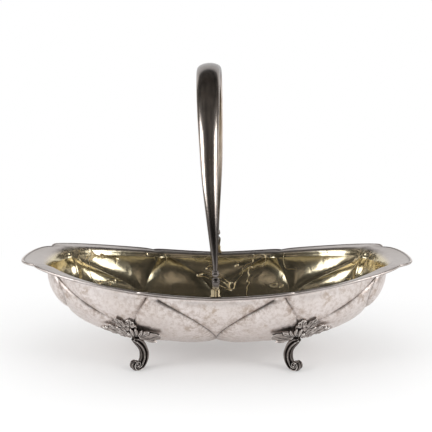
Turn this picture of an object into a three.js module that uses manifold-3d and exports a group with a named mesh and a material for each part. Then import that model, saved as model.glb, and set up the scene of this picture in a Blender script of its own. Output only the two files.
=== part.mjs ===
// A boat-shaped silver basket with a lobed body, an everted rim, four scroll feet and a swing handle.
// Millimetres, +Z up. The origin is on the table under the middle of the bowl, and +X runs to one tip.

import * as THREE from 'three';
import { mergeVertices } from 'three/addons/utils/BufferGeometryUtils.js';
import Module from 'manifold-3d';

const wasm = await Module();
wasm.setup();

// Bowl: plan and heights
const lengthOverTips = 290;
const widthOverRim = 148;
const tipLip = 19; // how far the rim reaches beyond the wall at a tip
const sideLip = 4.5; // and at the middle of a long side
const planPower = 2.3; // 2 is an ellipse, more is squarer
const rimHeight = 60.7; // top of the rim's edge at the middle of a long side
const tipRise = 14; // how much higher the rim is where the tip lips begin
const tipLipReach = 15; // the rise is complete this far in from the tip
const risePower = 1.6;
const tipDroopHeight = 2;
const bottomHeight = 10.5; // the lowest part of the body above the table
const sideFullness = 2.0; // curve of the section across the bowl
const endFullness = 2.9; // and along it
const sheet = 1.2;
const edgeThickness = 1.9; // the rim is thickened along its edge
const edgeWidth = 1.8;

// Rim: a rounded shoulder, then a flat flange that rises outwards
const sideSlope = THREE.MathUtils.degToRad(20);
const tipSlope = THREE.MathUtils.degToRad(3);
const sideShoulder = 2.5;
const tipShoulder = 7;
const notchDepth = 2.6; // dip in the rim's outline where the upright seams meet it
const cuspDepth = 4.8; // and where a tip lip begins
const notchReach = 5;

// Seams: angles in plan from the end of the bowl, heights above the table
const notchAngle = THREE.MathUtils.degToRad(68);
const cuspAngle = THREE.MathUtils.degToRad(25.5);
const footAngle = THREE.MathUtils.degToRad(57);
const sideShieldTop = THREE.MathUtils.degToRad(72); // its seams meet the wall a little in from the notches
const sideShieldPoint = 17;
const cornerShieldPoint = 30;
const endShieldPoint = 27;
const endShieldSwell = THREE.MathUtils.degToRad(7);
const seamDepth = 2.8;
const sideSeamTopDepth = 1.2; // the side shields' seams are faint at the wall
const sideSeamPointDepth = 3.2; // and draw the belly in at their point, which parts its outline in two
const keelDepth = 1.1; // the seams that run on from the shields' points under the bowl
const seamReach = 6.5;

// Bowl: facets
const columnsToCusp = 6;
const columnsToNotch = 10;
const columnsToMiddle = 6;
const shoulderRings = 3;
const bodyRings = 11;

// Hinges
const pivotAboveRim = 10.3;
const pinRadius = 1.1;
const pinClearance = 0.3;
const headRadius = 1.9;
const headHeight = 0.9;
const innerHeadRadius = 1.8;
const innerHeadHeight = 0.7;
const headClearance = 0.3;
const lugThickness = 1.4;
const lugSetback = 2.6; // from the rim's outer edge in to the lug's outer face
const lugTopRadius = 2.8;
const lugWaist = 4.6;
const lugFootWidth = 7.4;
const prongHeight = 5.2; // above the rim's edge
const prongThickness = 1.6; // in front of the lug's outer face
const prongGap = 2.2;
const eyeRadius = 2.8;
const eyeThickness = 1.5;
const eyeClearance = 0.3;
const seatGap = 0.3; // between pieces that are soldered together

// Handle
const handleTop = 215.6; // top of the arch above the table when it stands upright
const handleLean = THREE.MathUtils.degToRad(2.2); // as photographed, towards -X
const archPower = 2.3;
const archPoints = 48;
const armSkew = 1.6; // how far each arm stands to its own side of the pivots, as photographed
const armSkewEnd = 0.4; // the share of an arm, from its end, over which it gets there
const handleWidthTop = 17;
const handleWidthEnd = 3.6;
const domeTop = 4.2;
const domeEnd = 2.2;
const handleSheet = 0.9;
const innerStrip = 1.0;
const innerCrown = 0.5;
const archStations = 40;
const domeFacets = 8;
const crownFacets = 4;
const knobHeight = 5.5; // centre of the knob above the pivot
const knobRadius = 2.65;
const knobThickness = 3.5;
const knobSeat = 7.6; // where the knob is cut flat for the end of the bail

// Feet: the leaf lies on the belly where two seams meet, and the leg springs from its lower half
const leafLength = 44;
const leafHeight = 31;
const leafThickness = 2.8;
const leafEdge = 1.1;
const leafTiltDepth = 3.6; // how much farther its lower edge stands from the belly than its upper edge
const leafDirections = 40;
const leafRings = 4;
const legDirection = THREE.MathUtils.degToRad(40); // the way that a toe points, from the bowl's long axis
const legAlong = 3.2; // where the leg starts on the leaf, along it and down it
const legDown = 10;
const legSweep = 5.6; // how far its back bulges in from where it starts
const legWidth = 7.6;
const legDepth = 6;
const kneeSwell = 1.3;
const toeTaper = 0.8;
const toeRadius = 3.8;
const toeWidth = 6.8;
const toeFlat = 0.4; // how much of the toe is worn away where it stands
const flutes = 3;
const fluteDepth = 0.35;
const legStations = 18;
const legFacets = 12;

const silver = new THREE.MeshStandardMaterial({ color: 0xd2ccc8, roughness: 0.28, metalness: 1 });
const castSilver = new THREE.MeshStandardMaterial({ color: 0x8d8782, roughness: 0.4, metalness: 1 });
const polishedSilver = new THREE.MeshStandardMaterial({ color: 0xb9b1ab, roughness: 0.16, metalness: 1 });
const giltSilver = new THREE.MeshStandardMaterial({ color: 0xcdb37a, roughness: 0.25, metalness: 1 });

const { lerp, clamp } = THREE.MathUtils;
const halfLength = lengthOverTips / 2;
const halfWidth = widthOverRim / 2;
const wallLength = lengthOverTips - 2 * tipLip;
const wallWidth = widthOverRim - 2 * sideLip;
const tipRiseEnd = halfLength - tipLipReach;
const pivotHeight = rimHeight + pivotAboveRim;

// Solids from grids of points

// The triangles that close a flat loop of points, turned as the loop is. A loop of no size needs none.
function capOf(row) {
  const normal = new THREE.Vector3();
  row.forEach((point, i) => normal.add(point.clone().cross(row[(i + 1) % row.length])));
  if (normal.length() < 1e-4) return [];
  normal.normalize();
  const across = row[Math.floor(row.length / 2)].clone().sub(row[0]).projectOnPlane(normal).normalize();
  const up = normal.clone().cross(across);
  return THREE.ShapeUtils.triangulateShape(row.map((p) => new THREE.Vector2(p.dot(across), p.dot(up))), []);
}

// Joins rows of points, each row a closed loop, into a closed solid with flat or pointed ends.
function loft(rows) {
  const count = rows[0].length;
  const last = (rows.length - 1) * count;
  const positions = rows.flat().flatMap((p) => [p.x, p.y, p.z]);
  const index = [];
  for (let j = 0; j + 1 < rows.length; j++) {
    for (let i = 0; i < count; i++) {
      const k = (i + 1) % count;
      const [a, b, c, d] = [j * count + i, j * count + k, (j + 1) * count + k, (j + 1) * count + i];
      index.push(a, b, c, a, c, d);
    }
  }
  capOf(rows[0]).forEach(([a, b, c]) => index.push(c, b, a));
  capOf(rows[rows.length - 1]).forEach(([a, b, c]) => index.push(last + a, last + b, last + c));
  return tidy(positions, index);
}

// Makes a geometry of merged vertices, without the triangles that merging leaves flat.
function tidy(positions, index) {
  const raw = new THREE.BufferGeometry();
  raw.setAttribute('position', new THREE.Float32BufferAttribute(positions, 3));
  raw.setIndex(index);
  const merged = mergeVertices(raw, 1e-4);
  const kept = [];
  const all = merged.index.array;
  for (let t = 0; t < all.length; t += 3) {
    const [a, b, c] = [all[t], all[t + 1], all[t + 2]];
    if (a !== b && b !== c && c !== a) kept.push(a, b, c);
  }
  merged.setIndex(kept);
  merged.computeVertexNormals();
  return merged;
}

function toSolid(geometry) {
  const bare = geometry.clone();
  bare.deleteAttribute('normal');
  bare.deleteAttribute('uv');
  const merged = mergeVertices(bare, 1e-4);
  const mesh = new wasm.Mesh({
    numProp: 3,
    vertProperties: new Float32Array(merged.attributes.position.array),
    triVerts: new Uint32Array(merged.index.array),
  });
  mesh.merge();
  return new wasm.Manifold(mesh);
}

function largest(solid) {
  return solid.decompose().sort((a, b) => b.volume() - a.volume())[0];
}

function toGeometry(solid) {
  const mesh = solid.getMesh();
  const geometry = new THREE.BufferGeometry();
  geometry.setAttribute('position', new THREE.BufferAttribute(mesh.vertProperties.slice(), 3));
  geometry.setIndex(new THREE.BufferAttribute(mesh.triVerts.slice(), 1));
  geometry.computeVertexNormals();
  return geometry;
}

// Bowl

// A direction on the squared ellipse of the plan, as shares of its half length and half width.
function planUnit(angle) {
  const [c, s] = [Math.cos(angle), Math.sin(angle)];
  const norm = (Math.abs(c) ** planPower + Math.abs(s) ** planPower) ** (1 / planPower);
  return new THREE.Vector2(c / norm, s / norm);
}

// The angle from the nearer end of the bowl, from 0 at a tip to a right angle at the middle of a side.
function quarterAngle(angle) {
  return Math.atan2(Math.abs(Math.sin(angle)), Math.abs(Math.cos(angle)));
}

function rimTop(x) {
  const along = Math.abs(x);
  const droop = Math.max(0, (along - tipRiseEnd) / (halfLength - tipRiseEnd));
  return rimHeight + tipRise * Math.min(along / tipRiseEnd, 1) ** risePower - tipDroopHeight * droop ** 2;
}

// The rim over one direction: where the wall ends, where the edge is, and the sizes between them.
function rimAt(angle) {
  const unit = planUnit(angle);
  const wall = new THREE.Vector2((unit.x * wallLength) / 2, (unit.y * wallWidth) / 2);
  const edge = new THREE.Vector2(unit.x * halfLength, unit.y * halfWidth);
  const out = edge.clone().sub(wall);
  const width = out.length();
  out.normalize();
  const toTip = unit.x ** 2;
  const slope = lerp(sideSlope, tipSlope, toTip);
  const shoulder = Math.min(lerp(sideShoulder, tipShoulder, toTip), width * 0.6);
  const sweep = Math.PI / 2 - slope;
  const shoulderWidth = shoulder * (1 - Math.cos(sweep));
  const edgeZ = rimTop(edge.x) - ((edgeThickness + sheet) / 2) * Math.cos(slope);
  const shoulderZ = edgeZ - (width - shoulderWidth) * Math.tan(slope);
  return { wall, out, width, shoulder, sweep, slope, shoulderWidth, edgeZ, wallZ: shoulderZ - shoulder * Math.sin(sweep) };
}

// A point of the body's outside, without its seams: depth is a right angle at the rim and 0 at the bottom.
function bodyPoint(angle, depth) {
  const rim = rimAt(angle);
  const fullness = endFullness * Math.cos(angle) ** 2 + sideFullness * Math.sin(angle) ** 2;
  const share = Math.sin(depth) ** (2 / fullness);
  const z = bottomHeight + (rim.wallZ - bottomHeight) * (1 - Math.cos(depth));
  return new THREE.Vector3(rim.wall.x * share, rim.wall.y * share, z);
}

function depthAtHeight(angle, z) {
  const { wallZ } = rimAt(angle);
  return Math.acos(clamp(1 - (z - bottomHeight) / (wallZ - bottomHeight), 0, 1));
}

function bodyNormal(angle, depth) {
  const step = 1e-3;
  const low = Math.max(depth, 2 * step);
  const around = bodyPoint(angle + step, low).sub(bodyPoint(angle - step, low));
  const up = bodyPoint(angle, low + step).sub(bodyPoint(angle, low - step));
  return around.cross(up).normalize();
}

// One seam in the quarter where x and y are positive: its points from top to bottom, and its depth at each.
function seamLine(topAngle, bottomZ, depths, angleAt) {
  const steps = 16;
  const topZ = rimAt(topAngle).wallZ;
  return Array.from({ length: steps + 1 }, (_, i) => {
    const share = i / steps;
    const angle = angleAt(share);
    const point = bodyPoint(angle, depthAtHeight(angle, lerp(topZ, bottomZ, share)));
    return { point, sink: lerp(depths[0], depths[1], share) };
  });
}

function keelLine(angle, topZ, topSink) {
  const steps = 12;
  const depth = depthAtHeight(angle, topZ);
  return Array.from({ length: steps + 1 }, (_, i) => (
    { point: bodyPoint(angle, depth * (1 - i / steps)), sink: lerp(topSink, keelDepth, i / steps) }));
}

const rightAngle = Math.PI / 2;
const even = [seamDepth, seamDepth];
const sideSeamAngle = (q) => rightAngle - (rightAngle - sideShieldTop) * (1 - q) ** 1.7;
const endSeamAngle = (q) => cuspAngle * (1 - q * q) + endShieldSwell * Math.sin(Math.PI * q);
const seams = [
  seamLine(sideShieldTop, sideShieldPoint, [sideSeamTopDepth, sideSeamPointDepth], sideSeamAngle),
  seamLine(notchAngle, cornerShieldPoint, even, (q) => lerp(notchAngle, footAngle, q ** 1.3)),
  seamLine(cuspAngle, cornerShieldPoint, even, (q) => lerp(cuspAngle, footAngle, q ** 0.85)),
  seamLine(cuspAngle, endShieldPoint, even, endSeamAngle),
  keelLine(rightAngle, sideShieldPoint, sideSeamPointDepth),
  keelLine(footAngle, cornerShieldPoint, keelDepth),
  keelLine(0, endShieldPoint, keelDepth),
];

// How far the seams draw the sheet in at a point.
function seamDip(point) {
  const folded = new THREE.Vector3(Math.abs(point.x), Math.abs(point.y), point.z);
  const nearest = new THREE.Vector3();
  let dip = 0;
  for (const seam of seams) {
    for (let i = 0; i + 1 < seam.length; i++) {
      const piece = new THREE.Line3(seam[i].point, seam[i + 1].point);
      const share = piece.closestPointToPointParameter(folded, true);
      const distance = piece.at(share, nearest).distanceTo(folded);
      dip = Math.max(dip, lerp(seam[i].sink, seam[i + 1].sink, share) * Math.exp(-distance / seamReach));
    }
  }
  return dip;
}

// A point of the rim's underside: along runs from 0 at the wall to 1 at the outer edge.
function rimPoint(angle, along) {
  const rim = rimAt(angle);
  const shoulderShare = rim.shoulderWidth / rim.width;
  const edge = rim.wall.clone().addScaledVector(rim.out, rim.width);
  const dipAt = (special, depth) => {
    const there = planUnit(special);
    const mark = new THREE.Vector2(there.x * halfLength, there.y * halfWidth);
    const gap = Math.hypot(Math.abs(edge.x) - mark.x, Math.abs(edge.y) - mark.y);
    return depth * Math.exp(-gap / notchReach);
  };
  const dip = dipAt(notchAngle, notchDepth) + dipAt(cuspAngle, cuspDepth);
  let out;
  let z;
  if (along <= shoulderShare) {
    const turn = Math.acos(1 - (along * rim.width) / rim.shoulder);
    out = along * rim.width;
    z = rim.wallZ + rim.shoulder * Math.sin(turn);
  } else {
    out = along * rim.width;
    z = rim.edgeZ - (1 - along) * rim.width * Math.tan(rim.slope);
  }
  const plan = rim.wall.clone().addScaledVector(rim.out, out - dip * along ** 2);
  return new THREE.Vector3(plan.x, plan.y, z);
}

// The columns of the bowl's grid: they stand on the notches and cusps, where the outline is sharp.
function columnAngles() {
  const quarter = [];
  const spans = [
    [0, cuspAngle, columnsToCusp],
    [cuspAngle, notchAngle, columnsToNotch],
    [notchAngle, rightAngle, columnsToMiddle],
  ];
  for (const [from, to, count] of spans) {
    for (let i = 0; i < count; i++) quarter.push(lerp(from, to, i / count));
  }
  const mirrored = [rightAngle, ...quarter.slice(1).reverse()].map((a) => Math.PI - a);
  const half = [...quarter, ...mirrored];
  return [...half, ...half.map((a) => a + Math.PI)];
}

// The shell, or the shell grown by a margin on every side.
function bowlShell(margin = 0) {
  const angles = columnAngles();
  const count = angles.length;
  const rings = [];
  const ringOf = (along) => angles.map((angle) => rimPoint(angle, along(rimAt(angle))));
  rings.push(ringOf((rim) => 1 + margin / rim.width));
  rings.push(ringOf((rim) => 1 - edgeWidth / rim.width));
  rings.push(ringOf((rim) => lerp(rim.shoulderWidth, rim.width - edgeWidth, 0.4) / rim.width));
  for (let i = shoulderRings; i > 0; i--) {
    rings.push(ringOf((rim) => (rim.shoulder * (1 - Math.cos((rim.sweep * i) / shoulderRings))) / rim.width));
  }
  for (let j = 0; j < bodyRings; j++) {
    const depth = rightAngle * (1 - j / bodyRings);
    rings.push(angles.map((angle) => {
      const point = bodyPoint(angle, depth);
      return point.addScaledVector(bodyNormal(angle, depth), -seamDip(point));
    }));
  }
  const bottom = new THREE.Vector3(0, 0, bottomHeight + keelDepth);

  // The two faces of the sheet, from the neighbours in the grid. The edge is thicker.
  const bead = (edgeThickness - sheet) / 2;
  const faces = rings.map((ring, j) => ring.map((point, i) => {
    const around = ring[(i + 1) % count].clone().sub(ring[(i + count - 1) % count]);
    const above = rings[Math.max(j - 1, 0)][i];
    const below = j + 1 < rings.length ? rings[j + 1][i] : bottom;
    const out = around.cross(above.clone().sub(below)).normalize();
    const extra = (j === 0 ? bead : 0) + margin;
    return [
      point.clone().addScaledVector(out, extra),
      point.clone().addScaledVector(out, -sheet - extra),
    ];
  }));

  const positions = [];
  const index = [];
  const push = (point) => positions.push(point.x, point.y, point.z);
  for (const side of [0, 1]) faces.forEach((ring) => ring.forEach((pair) => push(pair[side])));
  push(new THREE.Vector3(0, 0, bottom.z - margin));
  push(new THREE.Vector3(0, 0, bottom.z + sheet + margin));
  const layer = rings.length * count;
  const last = (rings.length - 1) * count;
  for (let i = 0; i < count; i++) {
    const k = (i + 1) % count;
    for (let j = 0; j + 1 < rings.length; j++) {
      const [a, b, c, d] = [j * count + i, j * count + k, (j + 1) * count + k, (j + 1) * count + i];
      index.push(a, c, b, a, d, c);
      index.push(...[a, b, c, a, c, d].map((v) => v + layer));
    }
    index.push(last + i, 2 * layer, last + k);
    index.push(last + i + layer, last + k + layer, 2 * layer + 1);
    index.push(i, k, k + layer, i, k + layer, i + layer);
  }
  return tidy(positions, index);
}

// Hinges, made for the side of the bowl where y is positive and turned round for the other

const lugOuterFace = halfWidth - lugSetback;
const lugInnerFace = lugOuterFace - lugThickness;
const eyeInnerFace = lugOuterFace + eyeClearance;
const eyeOuterFace = eyeInnerFace + eyeThickness;
const archPlane = (eyeInnerFace + eyeOuterFace) / 2;

// A bar with its axis along Y between two faces.
function barAlongY(radius, fromY, toY, facets = 24) {
  const bar = new THREE.CylinderGeometry(radius, radius, toY - fromY, facets);
  bar.translate(0, (fromY + toY) / 2, 0);
  return bar;
}

// A shape drawn in X and Z, with thickness along Y from one face to the other.
function plateAlongY(shape, fromY, toY, curveSegments = 8) {
  const plate = new THREE.ExtrudeGeometry(shape, { depth: toY - fromY, bevelEnabled: false, curveSegments });
  plate.rotateX(rightAngle);
  plate.translate(0, toY, 0);
  return plate;
}

function lug() {
  const rimBelow = pivotAboveRim;
  const foot = -rimBelow - 2 * edgeThickness; // under the rim: what isn't above it is cut away
  const prongTop = prongHeight - rimBelow;
  const notchTop = prongTop - prongHeight / 2;
  const flare = prongTop - prongHeight / 3;
  const outline = new THREE.Shape();
  outline.moveTo(-lugFootWidth / 2, foot);
  outline.lineTo(lugFootWidth / 2, foot);
  outline.quadraticCurveTo(lugWaist / 2, flare, lugWaist / 2, prongTop);
  outline.lineTo(lugTopRadius, 0);
  outline.absarc(0, 0, lugTopRadius, 0, Math.PI, false);
  outline.lineTo(-lugWaist / 2, prongTop);
  outline.quadraticCurveTo(-lugWaist / 2, flare, -lugFootWidth / 2, foot);
  const plate = toSolid(plateAlongY(outline, lugInnerFace, lugOuterFace));

  const prong = new THREE.Shape();
  prong.moveTo(-lugFootWidth / 2, foot);
  prong.lineTo(-prongGap / 2, foot);
  prong.lineTo(-prongGap / 2, notchTop);
  prong.lineTo(-lugWaist / 3, notchTop + prongHeight / 6);
  prong.quadraticCurveTo(-lugWaist / 2, flare - prongHeight / 4, -lugFootWidth / 2, foot);
  const left = toSolid(plateAlongY(prong, lugOuterFace - lugThickness / 2, lugOuterFace + prongThickness));
  const right = left.mirror([1, 0, 0]);

  const bore = toSolid(barAlongY(pinRadius + pinClearance, lugInnerFace - 1, lugOuterFace + 1));
  const rim = toSolid(bowlShell(seatGap)).translate([0, 0, -pivotHeight]);
  return toGeometry(largest(plate.add(left).add(right).subtract(bore).subtract(rim)));
}

function hingePin() {
  const outer = eyeOuterFace + headClearance;
  const inner = lugInnerFace - headClearance;
  const profile = [
    [0, inner - innerHeadHeight],
    [innerHeadRadius * 0.6, inner - innerHeadHeight * 0.9],
    [innerHeadRadius, inner],
    [pinRadius, inner],
    [pinRadius, outer],
    [headRadius, outer],
    [headRadius * 0.9, outer + headHeight * 0.5],
    [headRadius * 0.55, outer + headHeight * 0.9],
    [0, outer + headHeight],
  ];
  const pin = new THREE.LatheGeometry(profile.map(([r, y]) => new THREE.Vector2(r, y)), 24);
  pin.deleteAttribute('normal');
  pin.deleteAttribute('uv');
  return tidy(Array.from(pin.attributes.position.array), Array.from(pin.index.array));
}

function knuckle() {
  const eye = toSolid(barAlongY(eyeRadius, eyeInnerFace, eyeOuterFace));
  const ball = new THREE.SphereGeometry(1, 20, 12);
  ball.scale(knobRadius, knobThickness / 2, knobRadius);
  ball.translate(0, archPlane, knobHeight);
  const neck = new THREE.BoxGeometry(eyeRadius, eyeThickness, knobHeight);
  neck.translate(0, archPlane, knobHeight / 2);
  const above = new THREE.BoxGeometry(4 * knobRadius, 4 * knobRadius, 4 * knobRadius);
  above.translate(0, archPlane, knobSeat + 2 * knobRadius);
  const bore = toSolid(barAlongY(pinRadius + pinClearance, eyeInnerFace - 1, eyeOuterFace + 1));
  const body = toSolid(ball).add(eye).add(toSolid(neck));
  return toGeometry(body.subtract(toSolid(above)).subtract(bore));
}

// Handle, seen from the pivots' axis

const archRise = handleTop - pivotHeight - domeTop;
const archCurve = new THREE.CatmullRomCurve3(
  Array.from({ length: archPoints + 1 }, (_, i) => {
    const footShare = (knobSeat + seatGap) / archRise;
    const start = Math.asin(footShare ** (archPower / 2));
    const turn = lerp(start, Math.PI - start, i / archPoints);
    const [c, s] = [Math.cos(turn), Math.sin(turn)];
    const y = archPlane * Math.sign(c) * Math.abs(c) ** (2 / archPower);
    return new THREE.Vector3(0, y, archRise * s ** (2 / archPower));
  }),
);

// Sweeps a section along the arch. The section gets how far along it is, from 0 at an end to 1 at the top,
// and gives its points as distance across and distance out of the arch.
function alongArch(section) {
  const points = archCurve.getSpacedPoints(archStations);
  const rows = points.map((point, i) => {
    const before = points[Math.max(i - 1, 0)];
    const after = points[Math.min(i + 1, archStations)];
    const tangent = after.clone().sub(before).normalize();
    if (i === 0 || i === archStations) tangent.set(0, 0, i === 0 ? 1 : -1);
    const out = new THREE.Vector3(0, tangent.z, -tangent.y);
    const along = 1 - Math.abs(2 * (i / archStations) - 1);
    const aside = armSkew * (point.y / archPlane) * THREE.MathUtils.smoothstep(along, 0, armSkewEnd);
    return section(along).map(([across, away]) => point.clone()
      .addScaledVector(new THREE.Vector3(1, 0, 0), across + aside)
      .addScaledVector(out, away));
  });
  return loft(rows);
}

function handleWidth(along) {
  return lerp(handleWidthEnd, handleWidthTop, Math.sin(rightAngle * along));
}

function arc(width, height, facets) {
  return Array.from({ length: facets + 1 }, (_, i) => {
    const turn = (Math.PI * i) / facets;
    return [(width / 2) * Math.cos(turn), height * Math.sin(turn)];
  });
}

function handleDome() {
  return alongArch((along) => {
    const width = handleWidth(along);
    const height = lerp(domeEnd, domeTop, Math.sin(rightAngle * along));
    const outside = arc(width, height, domeFacets);
    const inside = arc(width - 2 * handleSheet, height - handleSheet, domeFacets).reverse();
    return [...outside, ...inside];
  });
}

function handleLining() {
  return alongArch((along) => {
    const width = handleWidth(along);
    const top = [[-width / 2, -seatGap], [width / 2, -seatGap]];
    const crown = Array.from({ length: crownFacets + 1 }, (_, i) => {
      const across = lerp(width / 2, -width / 2, i / crownFacets);
      const bulge = innerCrown * (1 - (2 * across / width) ** 2);
      return [across, -seatGap - innerStrip - bulge];
    });
    return [...top, ...crown].reverse();
  });
}

// Feet, made for the quarter where x and y are positive

const footDepth = depthAtHeight(footAngle, cornerShieldPoint);
const aroundAtFoot = bodyPoint(footAngle + 0.01, footDepth).distanceTo(bodyPoint(footAngle - 0.01, footDepth)) / 0.02;
const upAtFoot = bodyPoint(footAngle, footDepth + 0.01).distanceTo(bodyPoint(footAngle, footDepth - 0.01)) / 0.02;

// A point over the belly near the foot: across is towards the tip, up is towards the rim.
function overBelly(across, up, away) {
  const angle = footAngle - across / aroundAtFoot;
  const depth = footDepth + up / upAtFoot;
  return bodyPoint(angle, depth).addScaledVector(bodyNormal(angle, depth), away);
}

// The leaf's outline as shares of its half length and half height, from the tip's end over the top.
const leafSpray = [
  [1, 0.02], [0.84, 0.16], [0.82, 0.46], [0.58, 0.62], [0.42, 0.96], [0.1, 1], [-0.08, 0.66], [-0.28, 0.36],
  [-0.5, 0.26], [-0.74, 0.1], [-0.74, -0.3], [-0.66, -0.7], [-0.46, -0.84], [-0.24, -0.56], [0.04, -0.64],
  [0.3, -0.76], [0.52, -0.52], [0.78, -0.38],
];
const leafCurve = new THREE.CatmullRomCurve3(
  leafSpray.map(([along, up]) => new THREE.Vector3((along * leafLength) / 2, (up * leafHeight) / 2, 0)),
  true,
);
const leafOutline = leafCurve.getSpacedPoints(leafDirections).slice(0, leafDirections);

// A leaf from one distance over the belly to its top face, grown by a margin.
// The rows run from the middle of the top out to the edge, and back along the underside.
function leafGeometry(under, margin) {
  const shares = Array.from({ length: leafRings + 1 }, (_, ring) => ring / leafRings);
  const layers = [
    ...shares.map((share) => ({ share, top: true })),
    ...shares.map((share) => ({ share: 1 - share, top: false })),
  ];
  const rows = layers.map(({ share, top }) => Array.from({ length: leafDirections }, (_, i) => {
    const edge = leafOutline[i];
    const reach = share * (1 + margin / edge.length());
    const dome = lerp(leafThickness, leafEdge, share ** 2);
    const stand = leafTiltDepth * (0.5 - (edge.y * share) / leafHeight);
    return overBelly(edge.x * reach, edge.y * reach, top ? seatGap + dome + stand + margin : under);
  }));
  return loft(rows);
}

function leaf() {
  return leafGeometry(seatGap, 0);
}

// The leg's line in its upright plane: how far out from its start, as shares of its sweep, and its height
// between toe and start.
const legLine = [
  [0.393, 1.16], [0, 0.97], [-0.464, 0.84], [-0.857, 0.65], [-1, 0.47], [-0.946, 0.3], [-0.696, 0.12],
  [-0.214, 0], [0.286, 0.04],
];

function leg() {
  const start = overBelly(legAlong, -legDown, seatGap + leafThickness + leafTiltDepth / 2);
  const toeHeight = (legDepth / 2) * toeTaper - toeFlat;
  const out = new THREE.Vector3(Math.cos(legDirection), Math.sin(legDirection), 0);
  const side = new THREE.Vector3(-out.y, out.x, 0);
  const onLine = ([away, height]) => start.clone()
    .addScaledVector(out, away * legSweep)
    .setZ(lerp(toeHeight, start.z, height));
  const line = new THREE.CatmullRomCurve3(legLine.map(onLine));
  const points = line.getSpacedPoints(legStations);
  const rows = points.map((point, i) => {
    const face = line.getTangentAt(i / legStations).cross(side).normalize();
    const knee = (kneeSwell - 1) * Math.max(0, 1 - (4 * i) / legStations);
    const taper = lerp(1, toeTaper, i / legStations) + knee;
    return Array.from({ length: legFacets }, (_, k) => {
      const turn = (2 * Math.PI * k) / legFacets;
      const flute = fluteDepth * Math.cos(2 * flutes * turn);
      return point.clone()
        .addScaledVector(side, ((legWidth / 2) * taper - flute) * Math.cos(turn))
        .addScaledVector(face, ((legDepth / 2) * taper - flute) * Math.sin(turn));
    });
  });
  const toe = new THREE.SphereGeometry(toeRadius, 16, 10);
  toe.scale(1, 1, toeWidth / (2 * toeRadius));
  toe.applyMatrix4(new THREE.Matrix4().makeBasis(out, new THREE.Vector3(0, 0, 1), side.clone().negate()));
  const toeCentre = onLine(legLine[legLine.length - 1]).setZ(toeRadius - toeFlat);
  toe.translate(toeCentre.x, toeCentre.y, toeCentre.z);

  const size = 2 * legWidth + 2 * start.z;
  const above = new THREE.BoxGeometry(size, size, size);
  above.translate(start.x, start.y, size / 2);
  const leafCutter = toSolid(leafGeometry(-legWidth, seatGap));
  const bar = toSolid(loft(rows)).add(toSolid(toe));
  return toGeometry(largest(bar.subtract(leafCutter).intersect(toSolid(above))));
}

// Assembly

const basket = new THREE.Group();

function addMesh(parent, name, geometry, material) {
  const mesh = new THREE.Mesh(geometry, material);
  mesh.name = name;
  parent.add(mesh);
  return mesh;
}

// Copies a geometry into another quarter of the bowl, keeping its faces turned out.
function mirrored(geometry, signX, signY) {
  const copy = geometry.clone();
  copy.scale(signX, signY, 1);
  if (signX * signY < 0) {
    const index = copy.index.array;
    for (let t = 0; t < index.length; t += 3) [index[t], index[t + 1]] = [index[t + 1], index[t]];
  }
  copy.computeVertexNormals();
  return copy;
}

addMesh(basket, 'bowl_shell', bowlShell(), silver);

const hingeParts = new THREE.Group();
hingeParts.position.z = pivotHeight;
basket.add(hingeParts);
const handle = new THREE.Group();
handle.position.z = pivotHeight;
handle.rotation.y = -handleLean;
basket.add(handle);
addMesh(handle, 'handle_dome', handleDome(), polishedSilver);
addMesh(handle, 'handle_lining', handleLining(), polishedSilver);
for (const [side, signY] of [['front', -1], ['back', 1]]) {
  addMesh(hingeParts, `hinge_lug_${side}`, mirrored(lug(), 1, signY), giltSilver);
  addMesh(hingeParts, `hinge_pin_${side}`, mirrored(hingePin(), 1, signY), polishedSilver);
  addMesh(handle, `handle_knuckle_${side}`, mirrored(knuckle(), 1, signY), polishedSilver);
}

const leafShape = leaf();
const legShape = leg();
for (const [side, signY] of [['front', -1], ['back', 1]]) {
  for (const [end, signX] of [['left', -1], ['right', 1]]) {
    addMesh(basket, `foot_leaf_${side}_${end}`, mirrored(leafShape, signX, signY), castSilver);
    addMesh(basket, `foot_leg_${side}_${end}`, mirrored(legShape, signX, signY), castSilver);
  }
}

export default basket;
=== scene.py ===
"""A boat-shaped silver basket with a gilt inside, four cast feet and a swing handle, on a pale table."""

import math

import bpy
import numpy as np
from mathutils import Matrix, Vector, kdtree


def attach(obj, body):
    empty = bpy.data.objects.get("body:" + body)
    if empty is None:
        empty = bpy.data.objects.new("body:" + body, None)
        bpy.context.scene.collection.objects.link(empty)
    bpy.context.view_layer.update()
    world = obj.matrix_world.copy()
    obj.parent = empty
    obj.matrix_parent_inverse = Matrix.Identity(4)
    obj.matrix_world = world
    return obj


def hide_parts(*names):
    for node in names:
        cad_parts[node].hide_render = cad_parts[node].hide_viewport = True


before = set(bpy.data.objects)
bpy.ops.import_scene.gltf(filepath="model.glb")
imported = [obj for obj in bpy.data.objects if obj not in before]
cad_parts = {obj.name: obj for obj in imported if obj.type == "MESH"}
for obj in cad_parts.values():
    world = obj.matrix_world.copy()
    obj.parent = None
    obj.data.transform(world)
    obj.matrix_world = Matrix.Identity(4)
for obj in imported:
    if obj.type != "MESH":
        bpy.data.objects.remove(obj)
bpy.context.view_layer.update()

MM = 0.001
RIGHT_ANGLE = math.pi / 2


# Camera

def direction(side, up):
    """From the bowl to a camera or a lamp: degrees to the right of the front, and degrees up."""
    side, up = math.radians(side), math.radians(up)
    return Vector((math.sin(side) * math.cos(up), -math.cos(side) * math.cos(up), math.sin(up)))


def look_from(side, up, distance, target, lens):
    """Puts the camera where the photograph was taken from."""
    away = direction(side, up)
    bpy.ops.object.camera_add(location=Vector(target) + away * distance)
    camera = bpy.context.object
    camera.rotation_euler = (-away).to_track_quat("-Z", "Y").to_euler()
    camera.data.sensor_width = 36
    camera.data.lens = lens
    camera.data.clip_end = 50
    bpy.context.scene.camera = camera


look_from(side=0.5, up=10, distance=0.6674, target=(-0.0005, 0, 0.1032), lens=74.8)


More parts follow.
